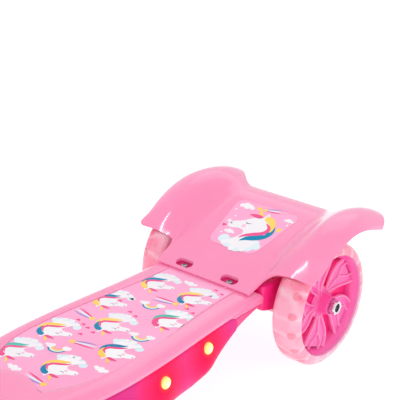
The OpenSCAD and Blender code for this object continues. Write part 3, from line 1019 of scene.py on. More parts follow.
    def rim_z(self, d: float) -> float:
        """Height of the rim at a distance in from its outer edge."""
        s = min(1.0, max(0.0, (self.round_over - d) / self.round_over))
        return self.top - self.round_drop * (1 - math.sqrt(1 - s**2.2))


@dataclass
class Deck:
    """Deck mouldings, neck, light strips and lamps.

    Attributes:
        form: Shape of the deck.
        neck_foot: Lower end of the neck's middle line as (x, z).
        neck_bend: Where that line bends.
        dome_r: Radius of a lamp's dome.
        dome_proud: Height of the dome.
    """

    form: DeckForm = field(default_factory=DeckForm)
    neck_foot: Point2 = (359.0, 80.0)
    neck_bend: Point2 = (391.0, 137.0)
    dome_r: float = 5.4
    dome_proud: float = 3.4

    def build(self) -> None:
        """Builds every piece of the deck."""
        self.rim()
        self.belly()
        self.neck()
        for side in (1, -1):
            self.strip(side)
            self.lamps(side)
        dress("battery_cover", PINK_BELLY, Edge(0.5))
        dress("base_screws", STEEL, Edge(0.2))
        dress("circuit_board", BOARD_GREEN)
        dress("motion_switch", DARK_NYLON)
        dress("battery_box", DARK_NYLON)
        dress("batteries", CELL_FOIL)

    def rim(self) -> None:
        """Raised rim round the mat, down to the seam."""
        f = self.form
        inner, outer = f.loops()
        rows: list[list[Point3]] = []
        for (ix, iy), (ox, oy) in zip(inner, outer):
            reach = math.hypot(ox - ix, oy - iy)
            row = [(ix, iy, f.mat_top - 1.0), (ix, iy, f.top - 0.25)]
            for k in range(25):
                s = 0.012 + (1 - 0.012) * (k / 24) ** 0.6
                row.append((mix(ix, ox, s), mix(iy, oy, s), f.rim_z((1 - s) * reach)))
            out = Vector((ox - ix, oy - iy)).normalized()
            row.append((ox - out.x * 0.5, oy - out.y * 0.5, f.top - f.round_drop - 0.7))
            row.append((ox - out.x * 0.5, oy - out.y * 0.5, f.seam + 0.2))
            row.append((ox - out.x * 2.5, oy - out.y * 2.5, f.seam))
            rows.append(row)
        skin = Skin()
        skin.sheet(rows)
        other = skin.mirrored()
        skin.add(other.points, other.faces)
        make("deck_rim", skin, Body.CHASSIS, [PINK_SHELL], origin=(REAR_X, 0, 0),
             edge=Edge(angle=50), replaces=["deck_shell"])

    def belly(self) -> None:
        """Boat-like lower moulding."""
        f = self.form
        rows = []
        places = [f.rear, f.rear + 0.8] + [mix(f.rear + 3, f.nose - 3, i / 110) for i in range(111)]
        places += [f.nose - 0.8, f.nose]
        for x in places:
            end = min(x - f.rear, f.nose - x)
            shrink = 1.6 * (1 - math.sqrt(1 - max(0.0, 1 - end / 3) ** 2))
            low = f.belly(x) + shrink
            half = []
            for k in range(29):
                q = (k / 28) ** 0.9
                z = mix(f.seam - 0.3, low, q)
                half.append((x, f.wall_y(x, z) - shrink, z))
            rows.append(half + [(x, -y, z) for _, y, z in half[::-1]])
        skin = Skin()
        skin.sheet(rows, closed=True, capped=True)
        make("deck_belly", skin, Body.CHASSIS, [PINK_BELLY], origin=(REAR_X, 0, 0),
             replaces=["deck_base"], edge=Edge(angle=50))

    def neck(self) -> None:
        """Moulded neck from the nose up to the head tube."""
        foot = Vector((self.neck_foot[0] + REAR_X, 0, self.neck_foot[1]))
        mid = Vector((self.neck_bend[0] + REAR_X, 0, self.neck_bend[1]))
        lean = Vector((-math.sin(Column.rake), 0, math.cos(Column.rake)))
        base = Column.head_point(0)
        top = base + lean * (Column.head_len / 2)
        rows = []
        steps = 36
        for i in range(steps + 1):
            t = i / steps
            a, b, c = (1 - t) ** 2, 2 * t * (1 - t), t * t
            middle = foot * a + mid * b + top * c
            along = ((mid - foot) * (1 - t) + (top - mid) * t).normalized()
            across = Vector((along.z, 0, -along.x))
            wide, deep = mix(24, 23, t), mix(13, 22, t)
            ring = []
            for k in range(32):
                g = 2 * math.pi * k / 32
                cx, cy = math.cos(g), math.sin(g)
                square = (abs(cx) ** 3 + abs(cy) ** 3) ** (-1 / 3)
                p = middle + across * (deep * cx * square * (0.8 if cx > 0 else 1)) \
                    + Vector((0, wide * cy * square, 0))
                ring.append(tuple(p))
            rows.append(ring)
        skin = Skin()
        skin.sheet(rows, closed=True, capped=True)
        ring_skin = Skin()
        inner = Column.head_r + 0.1
        outer = inner + 4
        ring_skin.lathe([(inner, -1), (outer - 1.5, -1), (outer, 0.5), (outer, Column.head_len - 1),
                         (outer - 1.5, Column.head_len), (inner, Column.head_len)], 64)
        turned = [base + Column.turn() @ Vector((x, z, y)) for x, y, z in ring_skin.points]
        skin.add([tuple(p) for p in turned], [f[::-1] for f in ring_skin.faces])
        make("deck_neck", skin, Body.CHASSIS, [PINK_SHELL], edge=Edge(angle=50))

    def strip(self, side: int) -> None:
        """Clear strip along one side of the belly, with its tapered ends.

        Args:
            side: 1 for the left, -1 for the right.
        """
        f = self.form
        rows = []
        start, stop = f.strip_from, f.strip_to
        for i in range(141):
            x = mix(start, stop, i / 140)
            lens = math.sqrt(max(0.0, 1 - (1 - min(1.0, (x - start) / 12)) ** 2))
            taper = math.sqrt(max(0.0, 1 - (1 - min(1.0, (stop - x) / 60)) ** 2))
            high = mix(69.0, 77.6, min(lens, taper))
            low = mix(69.0, f.belly(x) + 1.2, min(lens, taper))
            row = []
            for k in range(25):
                z = mix(high, low, k / 24)
                edge = min(k, 24 - k) / 24
                proud = 0.8 * min(1.0, edge * 12, (x - start) / 2, (stop - x) / 2) - 0.15
                row.append((REAR_X + x, side * (f.wall_y(x, z) + proud), z))
            rows.append(row)
        skin = Skin()
        skin.sheet(rows)
        name = "left" if side > 0 else "right"
        lamps = tuple(((REAR_X + x) * MM, side * (f.wall_y(x, z) + 1) * MM, z * MM) for x, z in f.lamps)
        finish = Lens("clear_hot_pink_" + name, (0.88, 0.05, 0.3), (0.76, 0.03, 0.24), (0.35, 0.45),
                      lamps=lamps)
        make("side_light_strip_" + name, skin, Body.CHASSIS, [finish],
             replaces=["side_light_" + name], edge=Edge(angle=60), shell=1.2)

    def lamps(self, side: int) -> None:
        """Glowing domes on one side.

        Args:
            side: 1 for the left, -1 for the right.
        """
        f = self.form
        name = "left" if side > 0 else "right"
        for i, (x, z) in enumerate(f.lamps):
            skin = Skin()
            profile = [(0.001, -6.0), (self.dome_r - 0.1, -6.0), (self.dome_r, 0.3)]
            profile += [(self.dome_r * math.cos(a), 0.3 + self.dome_proud * math.sin(a))
                        for a in map(math.radians, range(9, 91, 9))]
            skin.lathe(profile, 40)
            if side < 0:
                skin = skin.mirrored()
            make(f"lamp_dome_{name}_{i + 1}", skin, Body.CHASSIS, [LED_GLOW],
                 origin=(REAR_X + x, side * (f.wall_y(x, z) + 0.4), z),
                 replaces=["led_domes"] if i == 0 and side > 0 else ())


LED_GLOW = Lamp("lamp_glow", (1.0, 0.75, 0.3), (1.0, 0.7, 0.25), (0.2, 0.3))


# ---------------------------------------------------------------- print


@dataclass(frozen=True)
class Stroke:
    """One filled shape of a motif.

    Attributes:
        ink: Its ink.
        outline: Points of its edge, in the motif's own units.
    """

    ink: Printed
    outline: tuple[Point2, ...]


def blob(ink: Printed, *points: Point2) -> Stroke:
    """Shape with a rounded edge through a few points."""
    return Stroke(ink, tuple(smooth_loop(points)))


def spot(ink: Printed, x: float, y: float, r: float) -> Stroke:
    """Round shape."""
    return Stroke(ink, tuple(disc(x, y, r)))


def band(ink: Printed, outer: float, inner: float, start: float = 0.0, stop: float = 180.0) -> Stroke:
    """Part of a ring round the motif's zero point.

    Args:
        ink: Its ink.
        outer: Outer radius.
        inner: Inner radius.
        start: Where it starts, degrees.
        stop: Where it ends, degrees.

    Returns:
        The shape.
    """
    angles = [math.radians(mix(start, stop, i / 20)) for i in range(21)]
    edge = [(outer * math.cos(a), outer * math.sin(a)) for a in angles]
    edge += [(inner * math.cos(a), inner * math.sin(a)) for a in angles[::-1]]
    return Stroke(ink, tuple(edge))


def star(ink: Printed, x: float, y: float, r: float, points: int = 5) -> Stroke:
    """Star with rounded arms.

    Args:
        ink: Its ink.
        x: Place of its middle.
        y: Place of its middle.
        r: Length of an arm.
        points: Number of arms.

    Returns:
        The shape.
    """
    edge = []
    for i in range(2 * points):
        a = math.pi * i / points + math.pi / 2
        reach = r if i % 2 == 0 else 0.5 * r
        edge.append((x + reach * math.cos(a), y + reach * math.sin(a)))
    return Stroke(ink, tuple(rounded(edge, 0.3 * r, 3)))


def heart(ink: Printed, x: float, y: float, r: float) -> Stroke:
    """Heart.

    Args:
        ink: Its ink.
        x: Place of its middle.
        y: Place of its middle.
        r: Half its width.

    Returns:
        The shape.
    """
    edge = []
    for i in range(24):
        a = 2 * math.pi * i / 24
        edge.append((x + r * math.sin(a) ** 3,
                     y + r * (0.81 * math.cos(a) - 0.31 * math.cos(2 * a) - 0.125 * math.cos(3 * a))))
    return Stroke(ink, tuple(edge))


def cloud(ink: Printed, puffs: Sequence[tuple[float, float, float]]) -> list[Stroke]:
    """Cloud of round puffs."""
    return [spot(ink, x, y, r) for x, y, r in puffs]


def unicorn(mane: Printed, back: Printed) -> list[Stroke]:
    """Own-design unicorn bust that faces left, about one unit high.

    Args:
        mane: Ink of the upper mane.
        back: Ink of the mane behind the neck.

    Returns:
        Its shapes, from the lowest layer to the highest.
    """
    p = Printed
    shapes = cloud(p.MIST, [(-0.3, -0.44, 0.11), (-0.12, -0.5, 0.13), (0.1, -0.53, 0.14), (0.3, -0.46, 0.12),
                            (0.44, -0.4, 0.08), (0.36, -0.32, 0.08)])
    shapes += [
        blob(back, (0.3, 0.3), (0.44, 0.2), (0.5, 0.04), (0.46, -0.12), (0.36, -0.2), (0.38, -0.05),
             (0.34, 0.12), (0.22, 0.26)),
        blob(p.WHITE, (0.12, 0.36), (-0.02, 0.34), (-0.16, 0.24), (-0.28, 0.12), (-0.42, 0.05),
             (-0.49, -0.04), (-0.45, -0.12), (-0.34, -0.13), (-0.22, -0.09), (-0.1, -0.11),
             (-0.05, -0.2), (-0.12, -0.34),
             (-0.2, -0.5), (0.1, -0.55), (0.34, -0.44), (0.34, -0.2), (0.36, 0.04), (0.28, 0.26)),
        blob(p.WHITE, (0.06, 0.34), (0.09, 0.5), (0.18, 0.36)),
        blob(p.BLUSH, (0.09, 0.36), (0.105, 0.45), (0.14, 0.37)),
        blob(p.YELLOW, (-0.04, 0.33), (-0.17, 0.58), (0.04, 0.37)),
        blob(mane, (0.1, 0.41), (0.22, 0.42), (0.36, 0.33), (0.43, 0.18), (0.42, 0.04), (0.35, 0.14),
             (0.24, 0.25), (0.12, 0.3)),
        blob(p.ROSE, (0.2, 0.24), (0.31, 0.12), (0.28, 0.0), (0.14, -0.09), (0.0, -0.2), (-0.05, -0.32),
             (0.04, -0.25), (0.18, -0.17), (0.33, -0.08), (0.4, 0.06), (0.34, 0.18)),
        blob(back, (0.38, -0.06), (0.24, -0.14), (0.08, -0.24), (0.02, -0.38), (0.12, -0.33), (0.28, -0.27),
             (0.42, -0.16)),
        blob(p.ROSE, (0.04, 0.37), (-0.1, 0.4), (-0.26, 0.34), (-0.16, 0.31), (-0.02, 0.3)),
        blob(p.LINE, (-0.2, 0.12), (-0.13, 0.075), (-0.05, 0.12), (-0.125, 0.095)),
        blob(p.LINE, (-0.455, -0.02), (-0.43, -0.01), (-0.42, -0.035), (-0.445, -0.045)),
        spot(p.BLUSH, -0.16, 0.0, 0.045),
    ]
    shapes += cloud(p.WHITE, [(-0.22, -0.53, 0.07), (0.02, -0.6, 0.08), (0.22, -0.56, 0.07)])
    return shapes


def rainbow() -> list[Stroke]:
    """Arch of bands that stands on two clouds.

    Returns:
        Its shapes, from the lowest layer up.
    """
    p = Printed
    bands = [band(ink, 0.42 - 0.07 * i, 0.35 - 0.07 * i) for i, ink in
             enumerate((p.TEAL, p.MIST, p.YELLOW, p.PEACH))]
    feet = [(-0.42, -0.03, 0.12), (-0.28, -0.06, 0.12), (-0.34, 0.05, 0.1), (0.42, -0.03, 0.12),
            (0.28, -0.06, 0.12), (0.34, 0.05, 0.1), (0.52, -0.05, 0.08)]
    return bands + cloud(p.WHITE, feet)


def comet() -> list[Stroke]:
    """Star with a striped tail.

    Returns:
        Its shapes, from the lowest layer up.
    """
    p = Printed
    tails = []
    for i, ink in enumerate((p.LILAC, p.MIST, p.ROSE)):
        y = 0.09 * (1 - i)
        tails.append(blob(ink, (-0.34, y * 0.8), (-0.1, y + 0.05), (0.2, y * 1.4 + 0.05), (0.55, y * 1.6),
                          (0.2, y * 1.4 - 0.03), (-0.1, y - 0.03)))
    return [*tails, star(p.YELLOW, -0.4, 0.0, 0.17)]


def puff() -> list[Stroke]:
    """Small white cloud."""
    return cloud(Printed.WHITE, [(-0.3, -0.02, 0.14), (-0.1, 0.06, 0.19), (0.14, 0.03, 0.16),
                                 (0.33, -0.03, 0.12), (0.02, -0.06, 0.15)])


@dataclass(frozen=True)
class Stamp:
    """A motif at its place.

    Attributes:
        shapes: The motif.
        x: Place forwards from the rear axle.
        y: Place to the left.
        size: Height of one motif unit.
        turn: Turning of the motif's upright away from the rear, degrees.
    """

    shapes: Sequence[Stroke]
    x: float
    y: float
    size: float
    turn: float = 0.0

    def put(self, p: Point2) -> Point2:
        """Place on the deck of a point of the motif.

        Args:
            p: Point of the motif, whose right is the scooter's left when unturned.

        Returns:
            Its place.
        """
        a = math.radians(self.turn)
        u, v = p[0] * math.cos(a) - p[1] * math.sin(a), p[0] * math.sin(a) + p[1] * math.cos(a)
        return self.x - v * self.size, self.y + u * self.size


@dataclass
class Print:
    """Printed film: a ground sheet with layers of ink that follow a surface.

    Attributes:
        height: Height of the film over the ground plan.
        inside: Distance inside the film's edge, negative outside.
        lift: Height of the first layer above the film.
        layer: Height of each further layer.
        stride: Longest edge of a flat facet.
    """

    height: Callable[[float, float], float]
    inside: Callable[[float, float], bool]
    lift: float = 0.03
    layer: float = 0.008
    stride: float = 100.0

    def stamp(self, skin: Skin, stamps: Sequence[Stamp]) -> None:
        """Adds every motif to a skin, cut off at the film's edge.

        Args:
            skin: Skin that takes the ink.
            stamps: The motifs.
        """
        for s in stamps:
            for level, shape in enumerate(s.shapes):
                self.fill(skin, [s.put(p) for p in shape.outline], INKS.index(shape.ink), level)

    def fill(self, skin: Skin, outline: Sequence[Point2], ink: int, level: int) -> None:
        """Adds one filled shape.

        Args:
            skin: Skin that takes it.
            outline: Its edge on the ground plan.
            ink: Its material number.
            level: Its layer.
        """
        bm = bmesh.new()
        bm.faces.new([bm.verts.new((x, y, 0)) for x, y in outline]).normal_update()
        bmesh.ops.triangulate(bm, faces=bm.faces)
        if self.stride < 50:
            for _ in range(3):
                long = [e for e in bm.edges if e.calc_length() > self.stride]
                if long:
                    bmesh.ops.subdivide_edges(bm, edges=long, cuts=1)
                    bmesh.ops.triangulate(bm, faces=bm.faces)
        if not all(self.inside(v.co.x, v.co.y) for v in bm.verts):
            for v in bm.verts:
                self.pull_in(v.co)
        bm.verts.index_update()
        z = self.lift + self.layer * level
        skin.add([(v.co.x, v.co.y, self.height(v.co.x, v.co.y) + z) for v in bm.verts],
                 [[v.index for v in (f.verts if f.normal.z > 0 else reversed(f.verts))] for f in bm.faces
                  if f.calc_area() > 1e-4], ink)
        bm.free()

    def pull_in(self, co: Vector) -> None:
        """Moves a point that lies outside the film straight in to its edge.

        Args:
            co: The point, which is changed.
        """
        if self.inside(co.x, co.y):
            return
        for k in range(1, 60):
            s = 1 - k / 60
            if self.inside(co.x, co.y * s):
                co.y *= s
                return


@dataclass
class Mat:
    """Printed mat in the deck's recess.

    Attributes:
        form: Shape of the deck.
    """

    form: DeckForm = field(default_factory=DeckForm)

    def inside(self, x: float, y: float) -> bool:
        """Whether a place lies on the mat.

        Args:
            x: Place along the deck.
            y: Place across it.

        Returns:
            True on the mat.
        """
        f = self.form
        clear = math.hypot(x - f.arc_at - f.arc_r, y) > f.arc_r
        return f.mat_rear < x < f.wide_at + f.mat_nose and abs(y) < f.mat_half(x) - 0.2 and clear

    def build(self) -> None:
        """Builds the ground sheet and its motifs."""
        f = self.form
        inner, _ = f.loops()
        inset = [(x, max(0.0, y - 0.15)) for x, y in inner]
        skin = Skin()
        left = inset[f.rear_steps:]
        outline = left + [(x, -y) for x, y in left[-2::-1]]
        skin.add([(x, y, f.mat_top) for x, y in outline], [range(len(outline))[::-1]])
        film = Print(lambda x, y: f.mat_top, self.inside)
        film.stamp(skin, self.stamps())
        make("printed_mat", skin, Body.CHASSIS, [i.value for i in INKS], origin=(REAR_X, 0, 0),
             replaces=["deck_mat"], edge=Edge(angle=60))

    def stamps(self) -> list[Stamp]:
        """The mat's motifs.

        Returns:
            The motifs at their places.
        """
        p = Printed
        gold = unicorn(p.YELLOW, p.TEAL)
        teal = unicorn(p.TEAL, p.YELLOW)
        rose = unicorn(p.ROSE, p.MINT)
        heads = [(gold, 112, -23), (teal, 113, 21), (gold, 165, -33), (rose, 160, 32), (teal, 235, -32),
                 (teal, 197, -1), (rose, 280, -31), (gold, 228, 33), (teal, 277, 16)]
        out = [Stamp(shapes, x, y, 34, 180) for shapes, x, y in heads]
        out += [Stamp(rainbow(), x, y, 22, 195) for x, y in ((146, -1), (195, 30), (254, -10))]
        out += [Stamp(comet(), x, y, 24, turn) for x, y, turn in
                ((198, -33, 170), (237, 1, 15), (302, 13, 175), (133, 4, 190))]
        out += [Stamp(puff(), x, y, 17, 180) for x, y in ((257, 41), (92, -2), (300, -14))]
        dots = [heart(p.ROSE, x, y, 2.2) for x, y in ((0, 0), (6, 9), (9, -3))]
        out += [Stamp(dots, x, y, 1.0, 180) for x, y in
                ((172, 2), (217, -6), (135, 36), (90, 33), (212, -22), (262, 20), (150, -22))]
        return out


# ---------------------------------------------------------------- fender


@dataclass
class Fender:
    """Twin-arch fender in one moulding, with its label and screws.

    Attributes:
        wall: Thickness.
        half: Half its width.
        lip: Front edge of the middle panel.
        lip_half: Half the width of that edge.
        lip_z: Height of that edge.
        slope: Rise of the panel towards the rear.
        arch_front: Front edge of an arch.
        arch_y: Middle line of an arch.
        arch_rise: Height of an arch over the axle.
        arch_lean: How far behind the axle it is highest.
        arch_len: Half its length at axle height.
        side_drop: Fall of its outer side.
        tail_drop: Further fall towards its tail.
        panel_end: Rear edge of the panel.
        arch_from: Where the rear edge starts to sweep back.
        tail: Rear edge of an arch.
        screw_x: Place of the screws.
        screw_y: Place of the screws.
        foot_step: Gap between the lip's end and an arch's foot.
        pocket_r: Radius of a pocket's ends.
        pocket_half: Half the distance between those ends.
        pocket_z: Height of its floor.
        label_front: Front edge of the label.
        label_rear: Rear edge of the label.
        label_slim: Half width at its front.
        label_wide: Half width at its rear.
        label_round: Radius of its corners.
    """

    wall: float = 2.4
    half: float = 104.2
    lip: float = 79.0
    lip_half: float = 54.4
    lip_z: float = 89.3
    slope: float = 0.37
    arch_front: float = 49.0
    arch_y: float = 85.0
    arch_rise: float = 80.5
    arch_lean: float = 33.0
    arch_len: float = 97.0
    side_drop: float = 12.0
    tail_drop: float = 9.0
    panel_end: float = 60.0
    arch_from: float = 46.0
    tail: float = 84.0
    screw_x: float = 71.0
    screw_y: float = 26.7
    foot_step: float = 1.6
    pocket_r: float = 4.6
    pocket_half: float = 4.8
    pocket_z: float = 88.4
    label_front: float = 37.0
    label_rear: float = -28.0
    label_slim: float = 27.0
    label_wide: float = 37.0
    label_round: float = 9.0

    @property
    def peak(self) -> float:
        """Distance of an arch's highest line from the middle line."""
        return self.arch_y - 3

    def panel_z(self, x: float) -> float:
        """Height of the panel between the arches."""
        u = self.lip - x
        return self.lip_z + self.slope * u - 0.0004 * u * u - 0.009 * max(0.0, u - 109) ** 2

    def height(self, x: float, y: float) -> float:
        """Height of the outer face.

        Args:
            x: Place along.
            y: Place across.

        Returns:
            The height.
        """
        a = abs(y)
        foot = self.lip_half + self.foot_step - 9 * ease((self.arch_front + 5 - x) / 30)
        peak = self.peak
        along = (x + self.arch_lean) / self.arch_len
        crest = WHEEL_R + self.arch_rise * math.sqrt(max(0.0, 1 - along**2))
        panel = self.panel_z(x)
        if a <= foot:
            return panel
        if a <= peak:
            t = (a - foot) / (peak - foot)
            round_up = math.sin(math.pi / 2 * t) ** 1.15
            return panel + (crest - panel) * mix(round_up, ease(t), 0.55)
        v = 0.98 * (a - peak) / (self.half - peak)
        drop = self.side_drop * mix(0.25, 1.0, ease((self.arch_front - x) / 18))
        drop += self.tail_drop * ease((-x - 10) / 60)
        return crest - drop * (1 - math.sqrt(1 - v * v))

    def front(self, y: float) -> float:
        """Front edge.

        Args:
            y: Place across.

        Returns:
            Its place along.
        """
        a = abs(y)
        if a <= self.lip_half:
            return self.lip
        v = 0.98 * max(0.0, 1 - (self.half - a) / 7)
        sweep = (self.lip - self.arch_front) * max(0.0, 1 - (a - self.lip_half) / 9) ** 3 * 0.6
        return self.arch_front + sweep - 5 * (1 - math.sqrt(1 - v * v))

    def rear(self, y: float) -> float:
        """Rear edge.

        Args:
            y: Place across.

        Returns:
            Its place along.
        """
        a = abs(y)
        v = 0.98 * max(0.0, (a - self.arch_y) / (self.half - self.arch_y))
        out = ease((a - self.arch_from) / (self.peak - self.arch_from))
        return -mix(self.panel_end, self.tail, out) + 24 * (1 - math.sqrt(1 - v * v))

    def lanes(self) -> list[float]:
        """Distances from the middle line of the lengthwise lines of the mesh.

        Returns:
            The distances, from right to left.
        """
        foot, peak = self.lip_half + self.foot_step, self.peak
        half = [self.lip_half * i / 16 for i in range(17)]
        half += [mix(foot, peak, i / 20) for i in range(21)]
        half += [peak + (self.half - peak) * math.sin(math.pi / 2 * i / 20) for i in range(1, 21)]
        return [-y for y in half[:0:-1]] + half

    def surface(self, x: float, y: float, out: float = 0.0) -> Point3:
        """Point of the outer face, moved out along its normal.

        Args:
            x: Place along.
            y: Place across.
            out: Distance out.

        Returns:
            The point.
        """
        d = 0.5
        sx = (self.height(x + d, y) - self.height(x - d, y)) / (2 * d)
        inward = -d if y > 0 else d
        sy = 0.0 if y == 0 else (self.height(x, y + inward) - self.height(x, y)) / inward
        n = Vector((-min(2.0, max(-2.0, sx)), -min(4.0, max(-4.0, sy)), 1.0)).normalized()
        p = Vector((x, y, self.height(x, y))) + n * out
        return tuple(p)

    def build(self) -> None:
        """Builds the moulding, its pockets, its screws and its label."""
        rows = []
        count = 60
        for i in range(count + 1):
            rows.append([(mix(self.front(y), self.rear(y), i / count), y) for y in self.lanes()])
        outer = [[self.surface(x, y) for x, y in row] for row in rows]
        inner = [[self.surface(x, y, -self.wall) for x, y in row] for row in rows]
        skin = Skin()
        skin.sheet([a + b[::-1] for a, b in zip(outer, inner)], closed=True, capped=False)
        n = len(outer[0])
        for row in (0, count):
            faces = [(j, j + 1, n + j + 1, n + j) for j in range(n - 1)]
            skin.add(outer[row] + inner[row], faces)
        piece = make("fender_moulding", skin, Body.BRAKE, [PINK_SHELL], origin=(REAR_X, 0, 0),
                     edge=Edge(angle=50), replaces=["fender"])
        cutters = []
        for side in (1, -1):
            hole = Skin()
            hole.sheet([[(x, y, z) for x, y in self.oval(side, 0.0)] for z in (80, 110)],
                       closed=True, capped=True)
            cutters.append(hole)
        cut(piece, cutters, (REAR_X, 0, 0))
        mark_sharp(piece.data, 38)
        round_edges(piece, Edge(0.7, 3, 50))
        self.pockets()
        self.screws()
        self.label()

    def oval(self, side: int, grow: float) -> list[Point2]:
        """Outline of a screw pocket.

        Args:
            side: 1 for the left, -1 for the right.
            grow: Distance that it is widened by.

        Returns:
            The outline.
        """
        out = []
        for i in range(40):
            a = 2 * math.pi * i / 40
            shift = self.pocket_half if math.sin(a) > 0 else -self.pocket_half
            out.append((self.screw_x + (self.pocket_r + grow) * math.cos(a),
                        side * self.screw_y + shift + (self.pocket_r + grow) * math.sin(a)))
        return out

    def pockets(self) -> None:
        """Cups under the two holes, each with a floor that its screw holds down, in a darker pink that is
        painted shade of the recess.
        """
        for side in (1, -1):
            skin = Skin()
            floor = self.pocket_z
            rows = []
            for grow, below in ((1.3, 2.0), (0.05, 0.4)):
                rows.append([(x, y, self.panel_z(x) - below) for x, y in self.oval(side, grow)])
            rows.append([(x, y, floor + 0.3) for x, y in self.oval(side, 0.0)])
            brim = self.oval(side, -0.6)
            mid_x, mid_y = self.screw_x, side * self.screw_y
            rows.append([(x, y, floor) for x, y in brim])
            rows.append([(mix(x, mid_x, 0.5), mix(y, mid_y, 0.5), floor) for x, y in brim])
            rows.append([(mid_x + 0.001 * x, mid_y + 0.001 * y, floor) for x, y in brim])
            skin.sheet([r[::-1] for r in rows], closed=True)
            name = "left" if side > 0 else "right"
            make("fender_pocket_" + name, skin, Body.BRAKE, [POCKET_SHADE_PINK], origin=(REAR_X, 0, 0))

    def screws(self) -> None:
        """Pan-head screws with a cross in the head, drawn as a dark block: painted shade for the recess."""
        skin = Skin()
        seat = self.pocket_z + 0.5
        for side in (1, -1):
            head = Skin()
            profile = [(0.001, 0.0), (3.3, 0.0), (3.4, 0.4), (3.2, 1.0), (2.5, 1.5), (1.4, 1.7), (0.001, 1.7)]
            head.lathe(profile, 36)
            skin.add([(self.screw_x + x, side * self.screw_y + z, seat + y) for x, y, z in head.points],
                     [f[::-1] for f in head.faces])
            # The cross is a dark block just proud of the head: painted shade in place of the recess.
            for turn in (0, 1):
                arm = [(1.9, 0.35), (-1.9, 0.35), (-1.9, -0.35), (1.9, -0.35)]
                pts = [((a, b) if turn == 0 else (b, a)) for a, b in arm]
                low = [(self.screw_x + a, side * self.screw_y + b, seat + 1.3) for a, b in pts]
                high = [(x, y, seat + 1.76) for x, y, _ in low]
                skin.add(low + high, [(0, 1, 2, 3), (7, 6, 5, 4), (0, 4, 5, 1), (1, 5, 6, 2), (2, 6, 7, 3),
                                      (3, 7, 4, 0)], 1)
        make("fender_screw_heads", skin, Body.CHASSIS, [STEEL, DARK_NYLON], origin=(REAR_X, 0, 0),
             replaces=["fender_screws"])

    def label_half(self, x: float) -> float:
        """Half width of the label, with its round corners.

        Args:
            x: Place along.

        Returns:
            The half width.
        """
        t = (self.label_front - x) / (self.label_front - self.label_rear)
        r = self.label_round
        end = min(x - self.label_rear, self.label_front - x)
        short = 0.0 if end > r else r - math.sqrt(max(0.0, r * r - (r - end) ** 2))
        return mix(self.label_slim, self.label_wide, t) - short

    def on_label(self, x: float, y: float) -> bool:
        """Whether a place lies on the label."""
        return self.label_rear < x < self.label_front and abs(y) < self.label_half(x) - 0.3

    def label(self) -> None:
        """Printed label on the panel."""
        skin = Skin()
        rows = []
        for i in range(49):
            t = 0.5 - 0.5 * math.cos(math.pi * i / 48)
            x = mix(self.label_front - 0.01, self.label_rear + 0.01, t)
            h = self.label_half(x)
            rows.append([(x, h * k / 6, self.panel_z(x) + 0.15) for k in range(-6, 7)])
        skin.sheet(rows)
        p = Printed
        stamps = [
            Stamp(puff(), -20, -22, 20), Stamp(puff(), 18, -15, 13), Stamp(puff(), 26, 2, 18),
            Stamp(puff(), -18, 29, 12),
            Stamp(unicorn(p.YELLOW, p.TEAL), 6, 1, 50),
            Stamp(comet(), -24, 5, 18, 15),
            Stamp([star(p.YELLOW, 0, 0, 0.5)], -22, -9, 7), Stamp([star(p.YELLOW, 0, 0, 0.5)], -3, 28, 8),
            Stamp([star(p.WHITE, 0, 0, 0.5)], 5, -25, 6), Stamp([heart(p.ROSE, 0, 0, 0.5)], 12, -26, 5),
            Stamp([spot(p.WHITE, 0, 0, 0.5)], -12, -30, 2.2), Stamp([spot(p.WHITE, 0, 0, 0.5)], -12, 31, 2.2),
            Stamp([spot(p.WHITE, 0, 0, 0.5)], 22, -22, 2.2), Stamp([spot(p.WHITE, 0, 0, 0.5)], -3, -24, 2.0),
        ]
        film = Print(lambda x, y: self.panel_z(x) + 0.15, self.on_label, stride=5.0)
        film.stamp(skin, stamps)
        make("fender_label", skin, Body.BRAKE, [i.value for i in INKS], origin=(REAR_X, 0, 0),
             replaces=["fender_sticker"], edge=Edge(angle=60))


# ---------------------------------------------------------------- wheels


